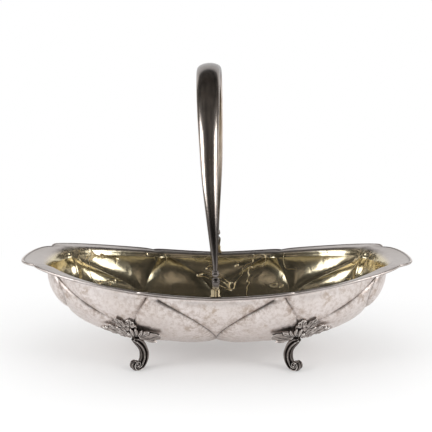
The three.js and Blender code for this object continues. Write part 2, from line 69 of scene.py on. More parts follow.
# Sizes of the bowl, in millimetres and radians. A power or fullness of 2 is an ellipse, and more is squarer.

LENGTH = 290
WIDTH = 148
WALL_LENGTH = 252
WALL_WIDTH = 139
PLAN_POWER = 2.3
RIM_HEIGHT = 60.7
TIP_RISE = 14
TIP_RISE_END = 130
RISE_POWER = 1.6
TIP_DROOP = 2
BOTTOM = 10.5
SIDE_FULLNESS = 2.0
END_FULLNESS = 2.9
SHEET = 1.2
EDGE_RADIUS = 0.95
SIDE_SLOPE = math.radians(20)
TIP_SLOPE = math.radians(3)
SIDE_SHOULDER = 2.5
TIP_SHOULDER = 7


# The rim's notches and cusps and the feet, by their angle from the tip, and how far the marks reach and sink

NOTCH = math.radians(68)
CUSP = math.radians(25.5)
FOOT = math.radians(57)
NOTCH_DEPTH = 2.6
CUSP_DEPTH = 4.8
NOTCH_SINK = 1.1
CUSP_SINK = 1.0
NOTCH_REACH = 5
SINK_REACH = 3.5


# Seams: where they leave the rim, how high the shields' points are, and how deep the sheet is drawn in

SIDE_TOP = math.radians(72)
SIDE_POINT = 17
CORNER_POINT = 30
END_POINT = 27
SEAM_DEPTH = 2.8
KEEL_DEPTH = 1.1
SEAM_REACH = 6.5
SIDE_SEAM_TOP = 1.2
SIDE_SEAM_POINT = 3.2
INNER_POWER = 1.35
LINE_DEPTH = 0.5
LINE_REACH = 0.75
TARNISH_REACH = 3.2
FOOT_REACH = 17
FOOT_FADE = 0.75
CLEAN_FADE = 0.6
SHARPER_FROM = 20
SHARPER_TO = 42
SHARPER_BY = 0.9
SEAM_STEPS = 240


# Sizes of the handle and its hinges, with heights from the pivots

PIVOT = 71
LEAN = math.radians(2.2)
LUG_OUTER = WIDTH / 2 - 2.6
LUG_INNER = LUG_OUTER - 1.4
EYE_INNER = LUG_OUTER + 0.3
EYE_OUTER = EYE_INNER + 1.5
ARCH_PLANE = (EYE_INNER + EYE_OUTER) / 2
ARCH_POWER = 2.3
HANDLE_TOP = 215.6
ARM_WIDTH = 3.6
GRIP_WIDTH = 17
ARM_HEIGHT = 2.2
GRIP_HEIGHT = 4.2
STRIP_SHEET = 0.9
LINING_SHEET = 1.0
ARM_SKEW = 1.6
SEAT_GAP = 0.3
KNOB_SEAT = 7.6
KNOB_HEIGHT = 5.5
PIN_RADIUS = 1.1
BORE_RADIUS = 1.4
CAST_GRAIN = 0.13


# The body's surface

def mix(a, b, share):
    return a + (b - a) * share


def smooth(low, high, value):
    t = np.clip((value - low) / (high - low), 0, 1)
    return t * t * (3 - 2 * t)


def plan_unit(angle):
    """A direction on the squared ellipse of the plan, as shares of half length and half width."""
    c, s = np.cos(angle), np.sin(angle)
    norm = (np.abs(c) ** PLAN_POWER + np.abs(s) ** PLAN_POWER) ** (1 / PLAN_POWER)
    return c / norm, s / norm


def rim_top(x):
    """The height of the rim's highest line: it rises towards the tips and droops at their ends."""
    along = np.abs(x)
    droop = np.clip((along - TIP_RISE_END) / (LENGTH / 2 - TIP_RISE_END), 0, None)
    return RIM_HEIGHT + TIP_RISE * np.minimum(along / TIP_RISE_END, 1) ** RISE_POWER - TIP_DROOP * droop ** 2


class Rim:
    """The rim over some directions: where the wall ends, where the edge is, and the sizes between."""

    def __init__(self, angle):
        ux, uy = plan_unit(angle)
        self.wall = np.stack([ux * WALL_LENGTH / 2, uy * WALL_WIDTH / 2], -1)
        self.edge = np.stack([ux * LENGTH / 2, uy * WIDTH / 2], -1)
        out = self.edge - self.wall
        self.width = np.linalg.norm(out, axis=-1)
        self.out = out / self.width[..., None]
        to_tip = ux ** 2
        self.slope = mix(SIDE_SLOPE, TIP_SLOPE, to_tip)
        self.shoulder = np.minimum(mix(SIDE_SHOULDER, TIP_SHOULDER, to_tip), self.width * 0.6)
        self.sweep = RIGHT_ANGLE - self.slope
        self.shoulder_width = self.shoulder * (1 - np.cos(self.sweep))
        self.edge_z = rim_top(self.edge[..., 0]) - (EDGE_RADIUS + SHEET / 2) * np.cos(self.slope)
        shoulder_z = self.edge_z - (self.width - self.shoulder_width) * np.tan(self.slope)
        self.wall_z = shoulder_z - self.shoulder * np.sin(self.sweep)


def body_point(angle, depth):
    """A point on the outside, at an angle round the plan and a depth: 0 below, a right angle at the top."""
    rim = Rim(angle)
    fullness = END_FULLNESS * np.cos(angle) ** 2 + SIDE_FULLNESS * np.sin(angle) ** 2
    share = np.abs(np.sin(depth)) ** (2 / fullness)
    z = BOTTOM + (rim.wall_z - BOTTOM) * (1 - np.cos(depth))
    return np.stack([rim.wall[..., 0] * share, rim.wall[..., 1] * share, z], -1)


def depth_at(angle, z):
    """The depth at which the body reaches a height."""
    wall_z = Rim(angle).wall_z
    return np.arccos(np.clip(1 - (z - BOTTOM) / (wall_z - BOTTOM), 0, 1))


def unit(vectors):
    return vectors / np.maximum(np.linalg.norm(vectors, axis=-1, keepdims=True), 1e-12)


def body_normal(angle, depth):
    """The direction straight out of the body at a point."""
    step = 1e-3
    low = np.maximum(depth, 8 * step)
    around = body_point(angle + step, low) - body_point(angle - step, low)
    up = body_point(angle, low + step) - body_point(angle, low - step)
    return unit(np.cross(around, up))


# Seams, in the quarter where x and y are positive

class Seam:
    """One seam from the rim down to its shield's point: the angle at each depth."""

    def __init__(self, top, bottom_z, angle_at):
        q = np.linspace(0, 1, SEAM_STEPS)
        top_z = float(Rim(np.array(top)).wall_z)
        self.angle = angle_at(q)
        self.depth = depth_at(self.angle, mix(top_z, bottom_z, q))
        self.depth[0] = RIGHT_ANGLE
        self.points = body_point(self.angle, self.depth)

    def angle_for(self, depth):
        return np.interp(depth, self.depth[::-1], self.angle[::-1])


side_seam = Seam(SIDE_TOP, SIDE_POINT, lambda q: RIGHT_ANGLE - (RIGHT_ANGLE - SIDE_TOP) * (1 - q) ** 1.7)
inner_seam = Seam(NOTCH, CORNER_POINT, lambda q: mix(NOTCH, FOOT, q ** 1.3))
outer_seam = Seam(CUSP, CORNER_POINT, lambda q: mix(CUSP, FOOT, q ** 0.85))
end_seam = Seam(CUSP, END_POINT, lambda q: CUSP * (1 - q * q) + math.radians(7) * np.sin(math.pi * q))


def keel(angle, top_z):
    """The fold that runs from a shield's point down to the bottom."""
    depth = depth_at(np.array(angle), top_z) * np.linspace(1, 0, SEAM_STEPS)
    return body_point(np.full(SEAM_STEPS, angle), depth)


class Crease:
    """The distance from a seam, and how deep the seam is there."""

    def __init__(self, points, top, bottom):
        self.sinks = np.linspace(top, bottom, len(points))
        self.tree = kdtree.KDTree(len(points))
        for i, point in enumerate(points):
            self.tree.insert(point, i)
        self.tree.balance()

    def near(self, points):
        found = [self.tree.find(p) for p in points]
        return np.array([f[2] for f in found]), self.sinks[[f[1] for f in found]]


creases = [
    Crease(side_seam.points, SIDE_SEAM_TOP, SIDE_SEAM_POINT),
    Crease(inner_seam.points, SEAM_DEPTH, SEAM_DEPTH),
    Crease(outer_seam.points, SEAM_DEPTH, SEAM_DEPTH),
    Crease(end_seam.points, SEAM_DEPTH, SEAM_DEPTH),
    Crease(keel(RIGHT_ANGLE, SIDE_POINT), SIDE_SEAM_POINT, KEEL_DEPTH),
    Crease(keel(FOOT, CORNER_POINT), KEEL_DEPTH, KEEL_DEPTH),
    Crease(keel(0, END_POINT), KEEL_DEPTH, KEEL_DEPTH),
]


def seam_dips(points):
    """How far the seams draw the sheet in, and how far off the nearest seam and the nearest keel are."""
    folded = np.abs(points.reshape(-1, 3))
    found = [crease.near(folded) for crease in creases]
    dip = np.max([sink * np.exp(-gap / SEAM_REACH) for gap, sink in found], 0)
    to_seam = np.min([gap for gap, _ in found[:4]], 0)
    to_keel = np.min([gap for gap, _ in found[4:]], 0)
    return [values.reshape(points.shape[:-1]) for values in (dip, to_seam, to_keel)]


# Modelling

def only(piece):
    """Selects one piece and nothing else."""
    if bpy.context.object and bpy.context.object.mode != "OBJECT":
        bpy.ops.object.mode_set(mode="OBJECT")
    bpy.ops.object.select_all(action="DESELECT")
    piece.select_set(True)
    bpy.context.view_layer.objects.active = piece


def points_of(piece):
    flat = np.empty(len(piece.data.vertices) * 3)
    piece.data.vertices.foreach_get("co", flat)
    return flat.reshape(-1, 3)


def move_points(piece, points):
    piece.data.vertices.foreach_set("co", np.asarray(points, dtype=float).ravel())
    piece.data.update()


def note(piece, name, values):
    """Writes one number for each point of a piece, which its finish reads."""
    attribute = piece.data.attributes.new(name, "FLOAT", "POINT")
    attribute.data.foreach_set("value", np.asarray(values, dtype=np.float32).ravel())


def close_up(piece, gap=2e-6, fill=False):
    """Merges the points that meet, fills the ends, and turns every face out."""
    only(piece)
    bpy.ops.object.mode_set(mode="EDIT")
    bpy.ops.mesh.select_all(action="SELECT")
    bpy.ops.mesh.remove_doubles(threshold=gap)
    bpy.ops.mesh.dissolve_degenerate(threshold=gap / 4)
    if fill:
        bpy.ops.mesh.select_all(action="DESELECT")
        bpy.ops.mesh.select_mode(type="EDGE")
        bpy.ops.mesh.select_non_manifold(extend=False)
        bpy.ops.mesh.fill_holes(sides=0)
        bpy.ops.mesh.select_mode(type="VERT")
    bpy.ops.mesh.select_all(action="SELECT")
    bpy.ops.mesh.normals_make_consistent(inside=False)
    bpy.ops.object.mode_set(mode="OBJECT")


def bent_grid(name, columns, rows, place):
    """A grid bent into shape. place gets each point's column and row, counted from 0."""
    bpy.ops.object.select_all(action="DESELECT")
    bpy.ops.mesh.primitive_grid_add(x_subdivisions=columns, y_subdivisions=rows, size=2)
    piece = bpy.context.object
    piece.name = name
    flat = points_of(piece)
    i = np.rint((flat[:, 0] + 1) / 2 * columns).astype(int)
    j = np.rint((flat[:, 1] + 1) / 2 * rows).astype(int)
    move_points(piece, place(i, j) * MM)
    return piece


def closed_grid(name, columns, rows, place, **how):
    """A bent grid whose sides meet, closed up into one form."""
    piece = bent_grid(name, columns, rows, place)
    close_up(piece, **how)
    return piece


def ring_turn(column, count):
    """The angle of a column round a ring, where the last column meets the first."""
    return 2 * math.pi * (column % count) / count


def grid_places(piece, columns):
    """The column and row of each point of a grid that isn't merged yet: its points run row by row."""
    index = np.arange(len(piece.data.vertices))
    return index % (columns + 1) % columns, index // (columns + 1)


def smooth_shade(piece, angle=180):
    """Shades a piece smooth, apart from edges sharper than an angle."""
    only(piece)
    bpy.ops.object.shade_smooth_by_angle(angle=math.radians(angle))


def apply(piece, kind, **settings):
    """Works one modifier into a piece."""
    only(piece)
    modifier = piece.modifiers.new("step", kind)
    for key, value in settings.items():
        setattr(modifier, key, value)
    bpy.ops.object.modifier_apply(modifier=modifier.name)


def joined(name, pieces):
    """Makes several forms one piece."""
    bpy.ops.object.select_all(action="DESELECT")
    for piece in pieces:
        piece.select_set(True)
    bpy.context.view_layer.objects.active = pieces[0]
    bpy.ops.object.join()
    pieces[0].name = name
    return pieces[0]


def settle(piece):
    """Leaves a piece's place in its mesh, with its object at the origin."""
    only(piece)
    bpy.ops.object.transform_apply(location=True, rotation=True, scale=True)
    return piece


def started(add, **sizes):
    """Adds a basic form with nothing else selected, for a piece to be made from."""
    bpy.ops.object.select_all(action="DESELECT")
    add(**sizes)
    return settle(bpy.context.object)


def cast_whole(piece, grain, rounds):
    """Runs overlapping forms together into one casting, with soft inside corners."""
    settle(piece)
    piece.data.remesh_voxel_size = grain * MM
    piece.data.remesh_voxel_adaptivity = 0
    only(piece)
    bpy.ops.object.voxel_remesh()
    apply(piece, "SMOOTH", factor=0.5, iterations=rounds)
    return piece


def hollows(piece, passes):
    """How far each point lies below the smoothed surface, in millimetres: recesses hold the tarnish."""
    mesh = piece.data
    count = len(mesh.vertices)
    edges = np.empty(len(mesh.edges) * 2, dtype=int)
    mesh.edges.foreach_get("vertices", edges)
    a, b = edges[0::2], edges[1::2]
    points = points_of(piece)
    normals = np.empty(count * 3)
    mesh.vertex_normals.foreach_get("vector", normals)
    normals = normals.reshape(-1, 3)
    degree = np.maximum(np.bincount(a, minlength=count) + np.bincount(b, minlength=count), 1)

    def spread(values):
        total = np.zeros_like(values)
        np.add.at(total, a, values[b])
        np.add.at(total, b, values[a])
        return total / (degree[:, None] if values.ndim > 1 else degree)

    soft = points
    for _ in range(passes):
        soft = mix(soft, spread(soft), 0.7)
    lift = np.einsum("ij,ij->i", soft - points, normals) / MM
    return mix(lift, spread(lift), 0.5)


def mirrored_copy(piece, name, sign_x, sign_y):
    """A copy of a piece in another quarter of the bowl, with its faces turned out again."""
    only(piece)
    bpy.ops.object.duplicate()
    copy = bpy.context.object
    copy.name = name
    move_points(copy, points_of(copy) * [sign_x, sign_y, 1])
    if sign_x * sign_y < 0:
        bpy.ops.object.mode_set(mode="EDIT")
        bpy.ops.mesh.select_all(action="SELECT")
        bpy.ops.mesh.flip_normals()
        bpy.ops.object.mode_set(mode="OBJECT")
    return copy


def spaced(line, count):
    """Evenly spaced points along a line, and their directions."""
    run = np.concatenate([[0], np.cumsum(np.linalg.norm(np.diff(line, axis=0), axis=1))])
    at = np.linspace(0, run[-1], count)
    even = np.stack([np.interp(at, run, values) for values in line.T], -1)
    return even, unit(np.gradient(even, axis=0))


def curve_through(points, count):
    """A smooth line through some points, as evenly spaced points and their directions."""
    points = np.asarray(points, dtype=float)
    ends = np.concatenate([[2 * points[0] - points[1]], points, [2 * points[-1] - points[-2]]])
    fine = []
    for k in range(len(points) - 1):
        p0, p1, p2, p3 = ends[k:k + 4]
        t = np.linspace(0, 1, 24, endpoint=False)[:, None]
        fine.append(0.5 * (2 * p1 + (p2 - p0) * t + (2 * p0 - 5 * p1 + 4 * p2 - p3) * t ** 2
                           + (3 * p1 - p0 - 3 * p2 + p3) * t ** 3))
    return spaced(np.concatenate(fine + [points[-1:]]), count)


# Finishes

class Signal:
    """A value in a finish, so that shader maths reads as plain sums."""

    def __init__(self, nodes, socket):
        self.nodes = nodes
        self.socket = socket

    def _math(self, operation, first, second=0.0, clamp=False):
        settings = {"operation": operation, "use_clamp": clamp}
        return self.nodes.node("ShaderNodeMath", settings, {0: first, 1: second})

    def __add__(self, other):
        return self._math("ADD", self, other)

    __radd__ = __add__

    def __sub__(self, other):
        return self._math("SUBTRACT", self, other)

    def __rsub__(self, other):
        return self._math("SUBTRACT", other, self)

    def __mul__(self, other):
        return self._math("MULTIPLY", self, other)

    __rmul__ = __mul__

    def __truediv__(self, other):
        return self._math("DIVIDE", self, other)

    def __rtruediv__(self, other):
        return self._math("DIVIDE", other, self)

    def __pow__(self, other):
        return self._math("POWER", self, other)

    def __rpow__(self, other):
        return self._math("POWER", other, self)

    def size(self):
        return self._math("ABSOLUTE", self)

    def clamped(self):
        return self._math("ADD", self, 0.0, clamp=True)

    def between(self, low, high):
        """0 up to low, 1 from high, and smooth between."""
        settings = {"interpolation_type": "SMOOTHSTEP"}
        inputs = {"Value": self, "From Min": low, "From Max": high}
        return self.nodes.node("ShaderNodeMapRange", settings, inputs)


class Nodes:
    """The nodes of one material or of the sky: each of them comes from node()."""

    def __init__(self, tree):
        self.tree = tree

    def node(self, kind, settings=None, inputs=None, out=0):
        made = self.tree.nodes.new(kind)
        for key, value in (settings or {}).items():
            setattr(made, key, value)
        for key, value in (inputs or {}).items():
            self.fill(made.inputs[key], value)
        return Signal(self, made.outputs[out])

    def fill(self, socket, value):
        """Links a signal to a socket, or writes a plain value there."""
        if isinstance(value, Signal):
            self.tree.links.new(value.socket, socket)
        else:
            socket.default_value = value

    def ray(self, kind):
        """1 for light that arrives by one kind of ray, such as Camera, and 0 for all other light."""
        return self.node("ShaderNodeLightPath", out=f"Is {kind} Ray")


class Finish(Nodes):
    """One material, with the noises, notes and blends that the finishes are made of."""

    def __init__(self, name):
        self.material = bpy.data.materials.new(name)
        self.material.use_nodes = True
        super().__init__(self.material.node_tree)
        self.surface = self.tree.nodes["Principled BSDF"]
        self.object = self.node("ShaderNodeTexCoord", out="Object")

    def noted(self, name):
        return self.node("ShaderNodeAttribute", {"attribute_name": name}, out="Fac")

    def stretched(self, x, y, z):
        return self.node("ShaderNodeMapping", None, {"Vector": self.object, "Scale": (x, y, z)})

    def noise(self, scale, detail, roughness, vector=None, distortion=0.0):
        inputs = {"Vector": vector or self.object, "Scale": scale, "Detail": detail}
        inputs.update({"Roughness": roughness, "Distortion": distortion})
        return self.node("ShaderNodeTexNoise", None, inputs, out="Fac")

    def blend(self, share, first, second):
        settings = {"data_type": "RGBA", "blend_type": "MIX"}
        return self.node("ShaderNodeMix", settings, {0: share, 6: first, 7: second}, out=2)

    def bump(self, height, distance, strength, normal=None):
        inputs = {"Height": height, "Distance": distance, "Strength": strength}
        if normal:
            inputs["Normal"] = normal
        return self.node("ShaderNodeBump", None, inputs, out="Normal")

    def feed(self, **inputs):
        """Sets the surface's own sockets, named with _ for a space."""
        for key, value in inputs.items():
            self.fill(self.surface.inputs[key.replace("_", " ")], value)

    def metal(self, base, roughness, normal):
        """Makes the surface bare metal, and gives the finished material."""
        self.feed(Base_Color=base, Metallic=1.0, Roughness=roughness, Normal=normal)
        return self.material


def colour(red, green, blue):
    return (red, green, blue, 1)


def shell_finish():
    """Worn silver outside and gilding inside, with tarnish along the seams, a rim painted grey for its
    darker reflection, painted shadow under the rim, and painted glints in the gilding.
    """
    f = Finish("shell_silver_and_gilt")
    seam, gilt, rim, under = f.noted("seam"), f.noted("gilt"), f.noted("rim"), f.noted("under")
    broad = f.noise(30, 5, 0.6)
    cloud = f.noise(95, 6, 0.65)
    mottle = f.noise(330, 8, 0.72)
    speck = f.noise(1150, 5, 0.75)

    # Silver: a broad change of tone, then stains, specks, worn tarnish, black in the seams, the rim painted
    # grey as a painted reflection, painted shadow under the rim and a dark line inside the bead.
    silver = f.blend(broad.between(0.35, 0.65), colour(0.83, 0.765, 0.74), colour(0.76, 0.69, 0.655))
    silver = f.blend(mottle.between(0.42, 0.66) * 0.5, silver, colour(0.58, 0.495, 0.445))
    stain = cloud.between(0.52, 0.72) * mottle.between(0.38, 0.6)
    silver = f.blend(stain * 0.95, silver, colour(0.52, 0.42, 0.345))
    silver = f.blend(speck.between(0.58, 0.74) * 0.5, silver, colour(0.30, 0.245, 0.21))
    worn = (seam ** 0.55 * (mottle.between(0.4, 0.62) * 0.8 + cloud.between(0.4, 0.65) * 0.3)).clamped()
    silver = f.blend(worn * 0.8, silver, colour(0.37, 0.28, 0.225))
    silver = f.blend((seam ** 6.0).clamped() * 0.9, silver, colour(0.06, 0.042, 0.034))
    # Painted reflection: the flange's top and the inside shoulder are painted darker grey for the darker
    # room that the rim reflects.
    silver = f.blend(rim * (0.8 + broad * 0.4), silver, colour(0.53, 0.485, 0.46))
    # Painted shadow: the flange's underside, the shoulder below it and the bead's lower half are painted
    # near black.
    silver = f.blend(under, silver, colour(0.055, 0.042, 0.036))
    silver = f.blend(f.noted("corner") * (0.5 + mottle * 0.6), silver, colour(0.10, 0.08, 0.07))

    # Gilding: two tones, dulled at the seams, rippled, and crinkled in places, with a painted glint of
    # bright gold on the crinkles.
    gold = f.blend(broad.between(0.4, 0.6), colour(0.74, 0.655, 0.46), colour(0.64, 0.56, 0.385))
    gold = f.blend(mottle.between(0.5, 0.75) * 0.4, gold, colour(0.45, 0.39, 0.27))
    gold = f.blend((seam ** 3.0).clamped() * 0.3, gold, colour(0.34, 0.27, 0.17))
    scratch = f.noise(1.0, 3, 0.6, vector=f.stretched(60, 1200, 1200))
    rough_out = 0.30 + mottle * 0.14 + worn * 0.12
    rough_in = 0.15 + cloud * 0.09 + scratch.between(0.55, 0.7) * 0.05
    ripple = f.noise(75, 2, 0.5, distortion=0.8)
    height = ripple * 0.9 + mottle * 0.10 + scratch * 0.03
    wander = f.noise(30, 2, 0.5, distortion=1.3)
    crinkled = f.noise(17, 1, 0.5).between(0.51, 0.56)
    crease = (1.0 - (wander - 0.5).size() / 0.014).clamped() * crinkled * gilt
    # Painted glint: the crinkles are bumped and rougher, and they are painted bright gold to stand in for
    # the reflections that catch on them.
    gold = f.blend(crease, gold, colour(1.0, 0.82, 0.52))
    return f.metal(
        f.blend(gilt, silver, gold),
        roughness=rough_out + (rough_in - rough_out) * gilt + crease * 0.45,
        normal=f.bump(crease, 0.0004, 1.0, normal=f.bump(height, 0.0008, 0.5)),
    )


def polished_finish():
    """Polished silver, painted darker at the arch and the arms' ends for their dark reflections, dark grey
    round the pivots, and scratched along the handle.
    """
    f = Finish("handle_silver")
    hollow = f.noted("hollow")
    cloud = f.noise(55, 6, 0.6)
    fine = f.noise(420, 5, 0.7)
    scratch = f.noise(1.0, 3, 0.7, vector=f.stretched(1400, 1400, 70))
    base = f.blend(cloud.between(0.35, 0.7), colour(0.92, 0.825, 0.755), colour(0.72, 0.62, 0.55))
    base = f.blend(fine.between(0.58, 0.8) * 0.3, base, colour(0.30, 0.25, 0.22))
    base = f.blend((hollow * 1.2).clamped(), base, colour(0.05, 0.04, 0.035))
    # Painted shade: the handle's arch and arms' ends are painted dark grey to stand in for the dark
    # reflections there, and the knuckles and pins are dark grey round the pivots.
    base = f.blend(f.noted("dark_tone_and_painted_shade") * (0.85 + cloud * 0.3), base, colour(0.17, 0.15, 0.14))
    return f.metal(
        base,
        roughness=0.165 + cloud * 0.1 + scratch * 0.06 + hollow * 0.2,
        normal=f.bump(cloud * 0.6 + scratch * 0.05, 0.0003, 0.4),
    )


def cast_finish():
    """The feet's cast silver, bright on the ridges and black in the recesses."""
    f = Finish("cast_silver")
    hollow, ridge = f.noted("hollow"), f.noted("ridge")
    fine = f.noise(700, 6, 0.7)
    cloud = f.noise(150, 5, 0.6)
    base = f.blend(cloud.between(0.3, 0.7), colour(0.40, 0.35, 0.325), colour(0.26, 0.225, 0.205))
    base = f.blend((ridge * 1.1 + (fine - 0.5) * 0.2).clamped(), base, colour(0.92, 0.87, 0.83))
    base = f.blend((hollow * 1.5 + (fine - 0.5) * 0.3).clamped(), base, colour(0.012, 0.009, 0.008))
    return f.metal(
        base,
        roughness=0.13 + fine * 0.1 + hollow * 0.25,
        normal=f.bump(fine, 0.0001, 0.4),
    )


def gilt_finish():
    """The lugs' gilding, worn off round the pivot."""
    f = Finish("gilt_casting")
    hollow = f.noted("hollow")
    fine = f.noise(600, 6, 0.7)
    base = f.blend(fine.between(0.4, 0.7), colour(0.95, 0.80, 0.54), colour(0.74, 0.58, 0.35))
    base = f.blend(f.noted("bare") * 0.9, base, colour(0.19, 0.17, 0.16))
    base = f.blend((hollow * 1.1).clamped(), base, colour(0.05, 0.03, 0.02))
    return f.metal(
        base,
        roughness=0.2 + fine * 0.12 + hollow * 0.2,
        normal=f.bump(fine, 0.0001, 0.5),
    )


SHELL = shell_finish()
POLISHED = polished_finish()
CAST = cast_finish()
GILT = gilt_finish()


def dress(piece, material, body, slot, node):
    """Gives a piece its finish and the body that it moves with, and hides the plain solid that it stands
    for.
    """
    piece.data.materials.clear()
    piece.data.materials.append(material)
    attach(piece, body)
    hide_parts(node)


SIDES = {"front": (1, -1), "back": (1, 1)}
QUARTERS = {"front_left": (-1, -1), "front_right": (1, -1), "back_left": (-1, 1), "back_right": (1, 1)}


def set_out(piece, kind, node, places, *dressing):
    """Puts a dressed copy of a piece in each of its places, and takes the first one away."""
    for place, signs in places.items():
        copy = mirrored_copy(piece, f"{kind}_{place}", *signs)
        dress(copy, *dressing, f"{node}_{place}")
    only(piece)
    bpy.ops.object.delete()


# Bowl

BODY_ROWS = 92
ROW_POWER = 0.92
SHOULDER_ROWS = 10
FLANGE_ROWS = 8
BEAD_ROWS = 12
BEAD_SWEEP = math.radians(142)
PANEL_COLUMNS = (12, 20, 26, 22, 13)


def quarter_columns():
    """Which panel each column of a quarter is in, and how far across it, closer together at the seams."""
    columns = []
    for panel, count in enumerate(PANEL_COLUMNS):
        t = np.arange(count) / count
        if panel == 0:
            share = mix(t, np.sin(RIGHT_ANGLE * t), 0.7)
        elif panel == len(PANEL_COLUMNS) - 1:
            share = mix(t, 1 - np.cos(RIGHT_ANGLE * t), 0.7)
        else:
            share = mix(t, 0.5 - 0.5 * np.cos(math.pi * t), 0.75)
        columns += [(panel, s) for s in share]
    return columns


def column_angles(depth):
    """The angle of every column at each depth, all round the bowl: the panels' bounds are the seams."""
    bounds = [np.zeros_like(depth)]
    bounds += [seam.angle_for(depth) for seam in (end_seam, outer_seam, inner_seam, side_seam)]
    bounds += [np.full_like(depth, RIGHT_ANGLE)]
    first = np.stack([mix(bounds[panel], bounds[panel + 1], share) for panel, share in quarter_columns()])
    closing = np.full((1, len(depth)), RIGHT_ANGLE)
    back = math.pi - first[::-1]
    half = np.concatenate([first, closing, back[:-1]])
    return np.concatenate([half, half + math.pi]).T


def body_sheet():
    """Both sides of the body, row by row from the bottom, with the seams drawn in."""
    depth = RIGHT_ANGLE * (np.arange(BODY_ROWS + 1) / BODY_ROWS) ** ROW_POWER
    angles = column_angles(depth)
    grid = np.broadcast_to(depth[:, None], angles.shape)
    base = body_point(angles, grid)
    normal = body_normal(angles, grid)
    normal[0] = (0, 0, -1)
    dip, to_shield, to_keel = seam_dips(base)

    # The seams fade beside the feet, and are sharper above them and inside.
    foot = body_point(np.array(FOOT), depth_at(np.array(FOOT), CORNER_POINT))
    by_foot = np.exp(-(np.linalg.norm(np.abs(base) - foot, axis=-1) / FOOT_REACH) ** 2)
    dip = dip * (1 - FOOT_FADE * by_foot)
    sharper = 1 + SHARPER_BY * smooth(SHARPER_FROM, SHARPER_TO, base[..., 2])
    groove = dip ** sharper * SEAM_DEPTH ** (1 - sharper)
    inner_groove = dip ** INNER_POWER * SEAM_DEPTH ** (1 - INNER_POWER)
    line = LINE_DEPTH * np.exp(-np.minimum(to_shield, to_keel + 0.8) / LINE_REACH)
    outside = base - normal * (groove + line)[..., None]
    inside = base - normal * (inner_groove + SHEET)[..., None]
    tarnish = np.exp(-np.minimum(to_shield, to_keel * 1.5 + 1) / TARNISH_REACH) * (1 - CLEAN_FADE * by_foot)
    return angles[-1], outside, inside, groove[-1], tarnish


def rim_marks(rim):
    """How far the notches and cusps cut into the rim's edge, and how far they press it down."""
    cut, sink = 0, 0
    for angle, depth, press in ((NOTCH, NOTCH_DEPTH, NOTCH_SINK), (CUSP, CUSP_DEPTH, CUSP_SINK)):
        ux, uy = plan_unit(np.array(angle))
        gap_x = np.abs(rim.edge[:, 0]) - ux * LENGTH / 2
        gap_y = np.abs(rim.edge[:, 1]) - uy * WIDTH / 2
        gap = np.hypot(gap_x, gap_y)
        cut = cut + depth * np.exp(-gap / NOTCH_REACH)
        sink = sink + press * np.exp(-gap / SINK_REACH)
    return cut, sink


def rim_rows(angles, wall_groove):
    """Rows over the shoulder and flange on the outside, round the bead, and over both on the inside."""
    rim = Rim(angles)
    cut, sink = rim_marks(rim)

    def row_at(out, z, normal_out, normal_z, lift=0.0):
        along = out / rim.width
        plan = rim.wall + rim.out * (out - cut * along ** 2)[:, None]
        level = (z - sink * along)[:, None]
        normal = np.concatenate([rim.out * normal_out[:, None], normal_z[:, None]], 1)
        return np.concatenate([plan, level], 1) + normal * lift

    outer, inner = [], []
    for k in range(1, SHOULDER_ROWS + 1):
        turn = rim.sweep * k / SHOULDER_ROWS
        out = rim.shoulder * (1 - np.cos(turn))
        z = rim.wall_z + rim.shoulder * np.sin(turn)
        groove = wall_groove * (1 - k / SHOULDER_ROWS) ** 1.5 * 0.9
        for rows, lift in ((outer, 0.0), (inner, -SHEET)):
            row = row_at(out, z, np.cos(turn), -np.sin(turn), lift)
            row[:, :2] -= rim.out * groove[:, None]
            rows.append(row)

    rise, run = np.sin(rim.slope), np.cos(rim.slope)
    for k in range(1, FLANGE_ROWS + 1):
        share = 1 - (1 - k / FLANGE_ROWS) ** 2
        out = mix(rim.shoulder_width, rim.width - 2 * EDGE_RADIUS, share)
        z = rim.edge_z - (rim.width - out) * np.tan(rim.slope)
        outer.append(row_at(out, z, rise, -run))
        inner.append(row_at(out, z, rise, -run, -SHEET))

    bead = []
    centre = rim.width - EDGE_RADIUS * run
    centre_z = rim.edge_z - (rim.width - centre) * np.tan(rim.slope)
    for k in range(1, BEAD_ROWS):
        turn = mix(-BEAD_SWEEP, BEAD_SWEEP, k / BEAD_ROWS)
        ahead = EDGE_RADIUS * math.cos(turn)
        up = EDGE_RADIUS * math.sin(turn)
        out = centre + ahead * run - up * rise - SHEET / 2 * rise
        z = centre_z + ahead * rise + up * run + SHEET / 2 * run
        bead.append(row_at(out, z, rise, -run))
    return outer, bead, inner


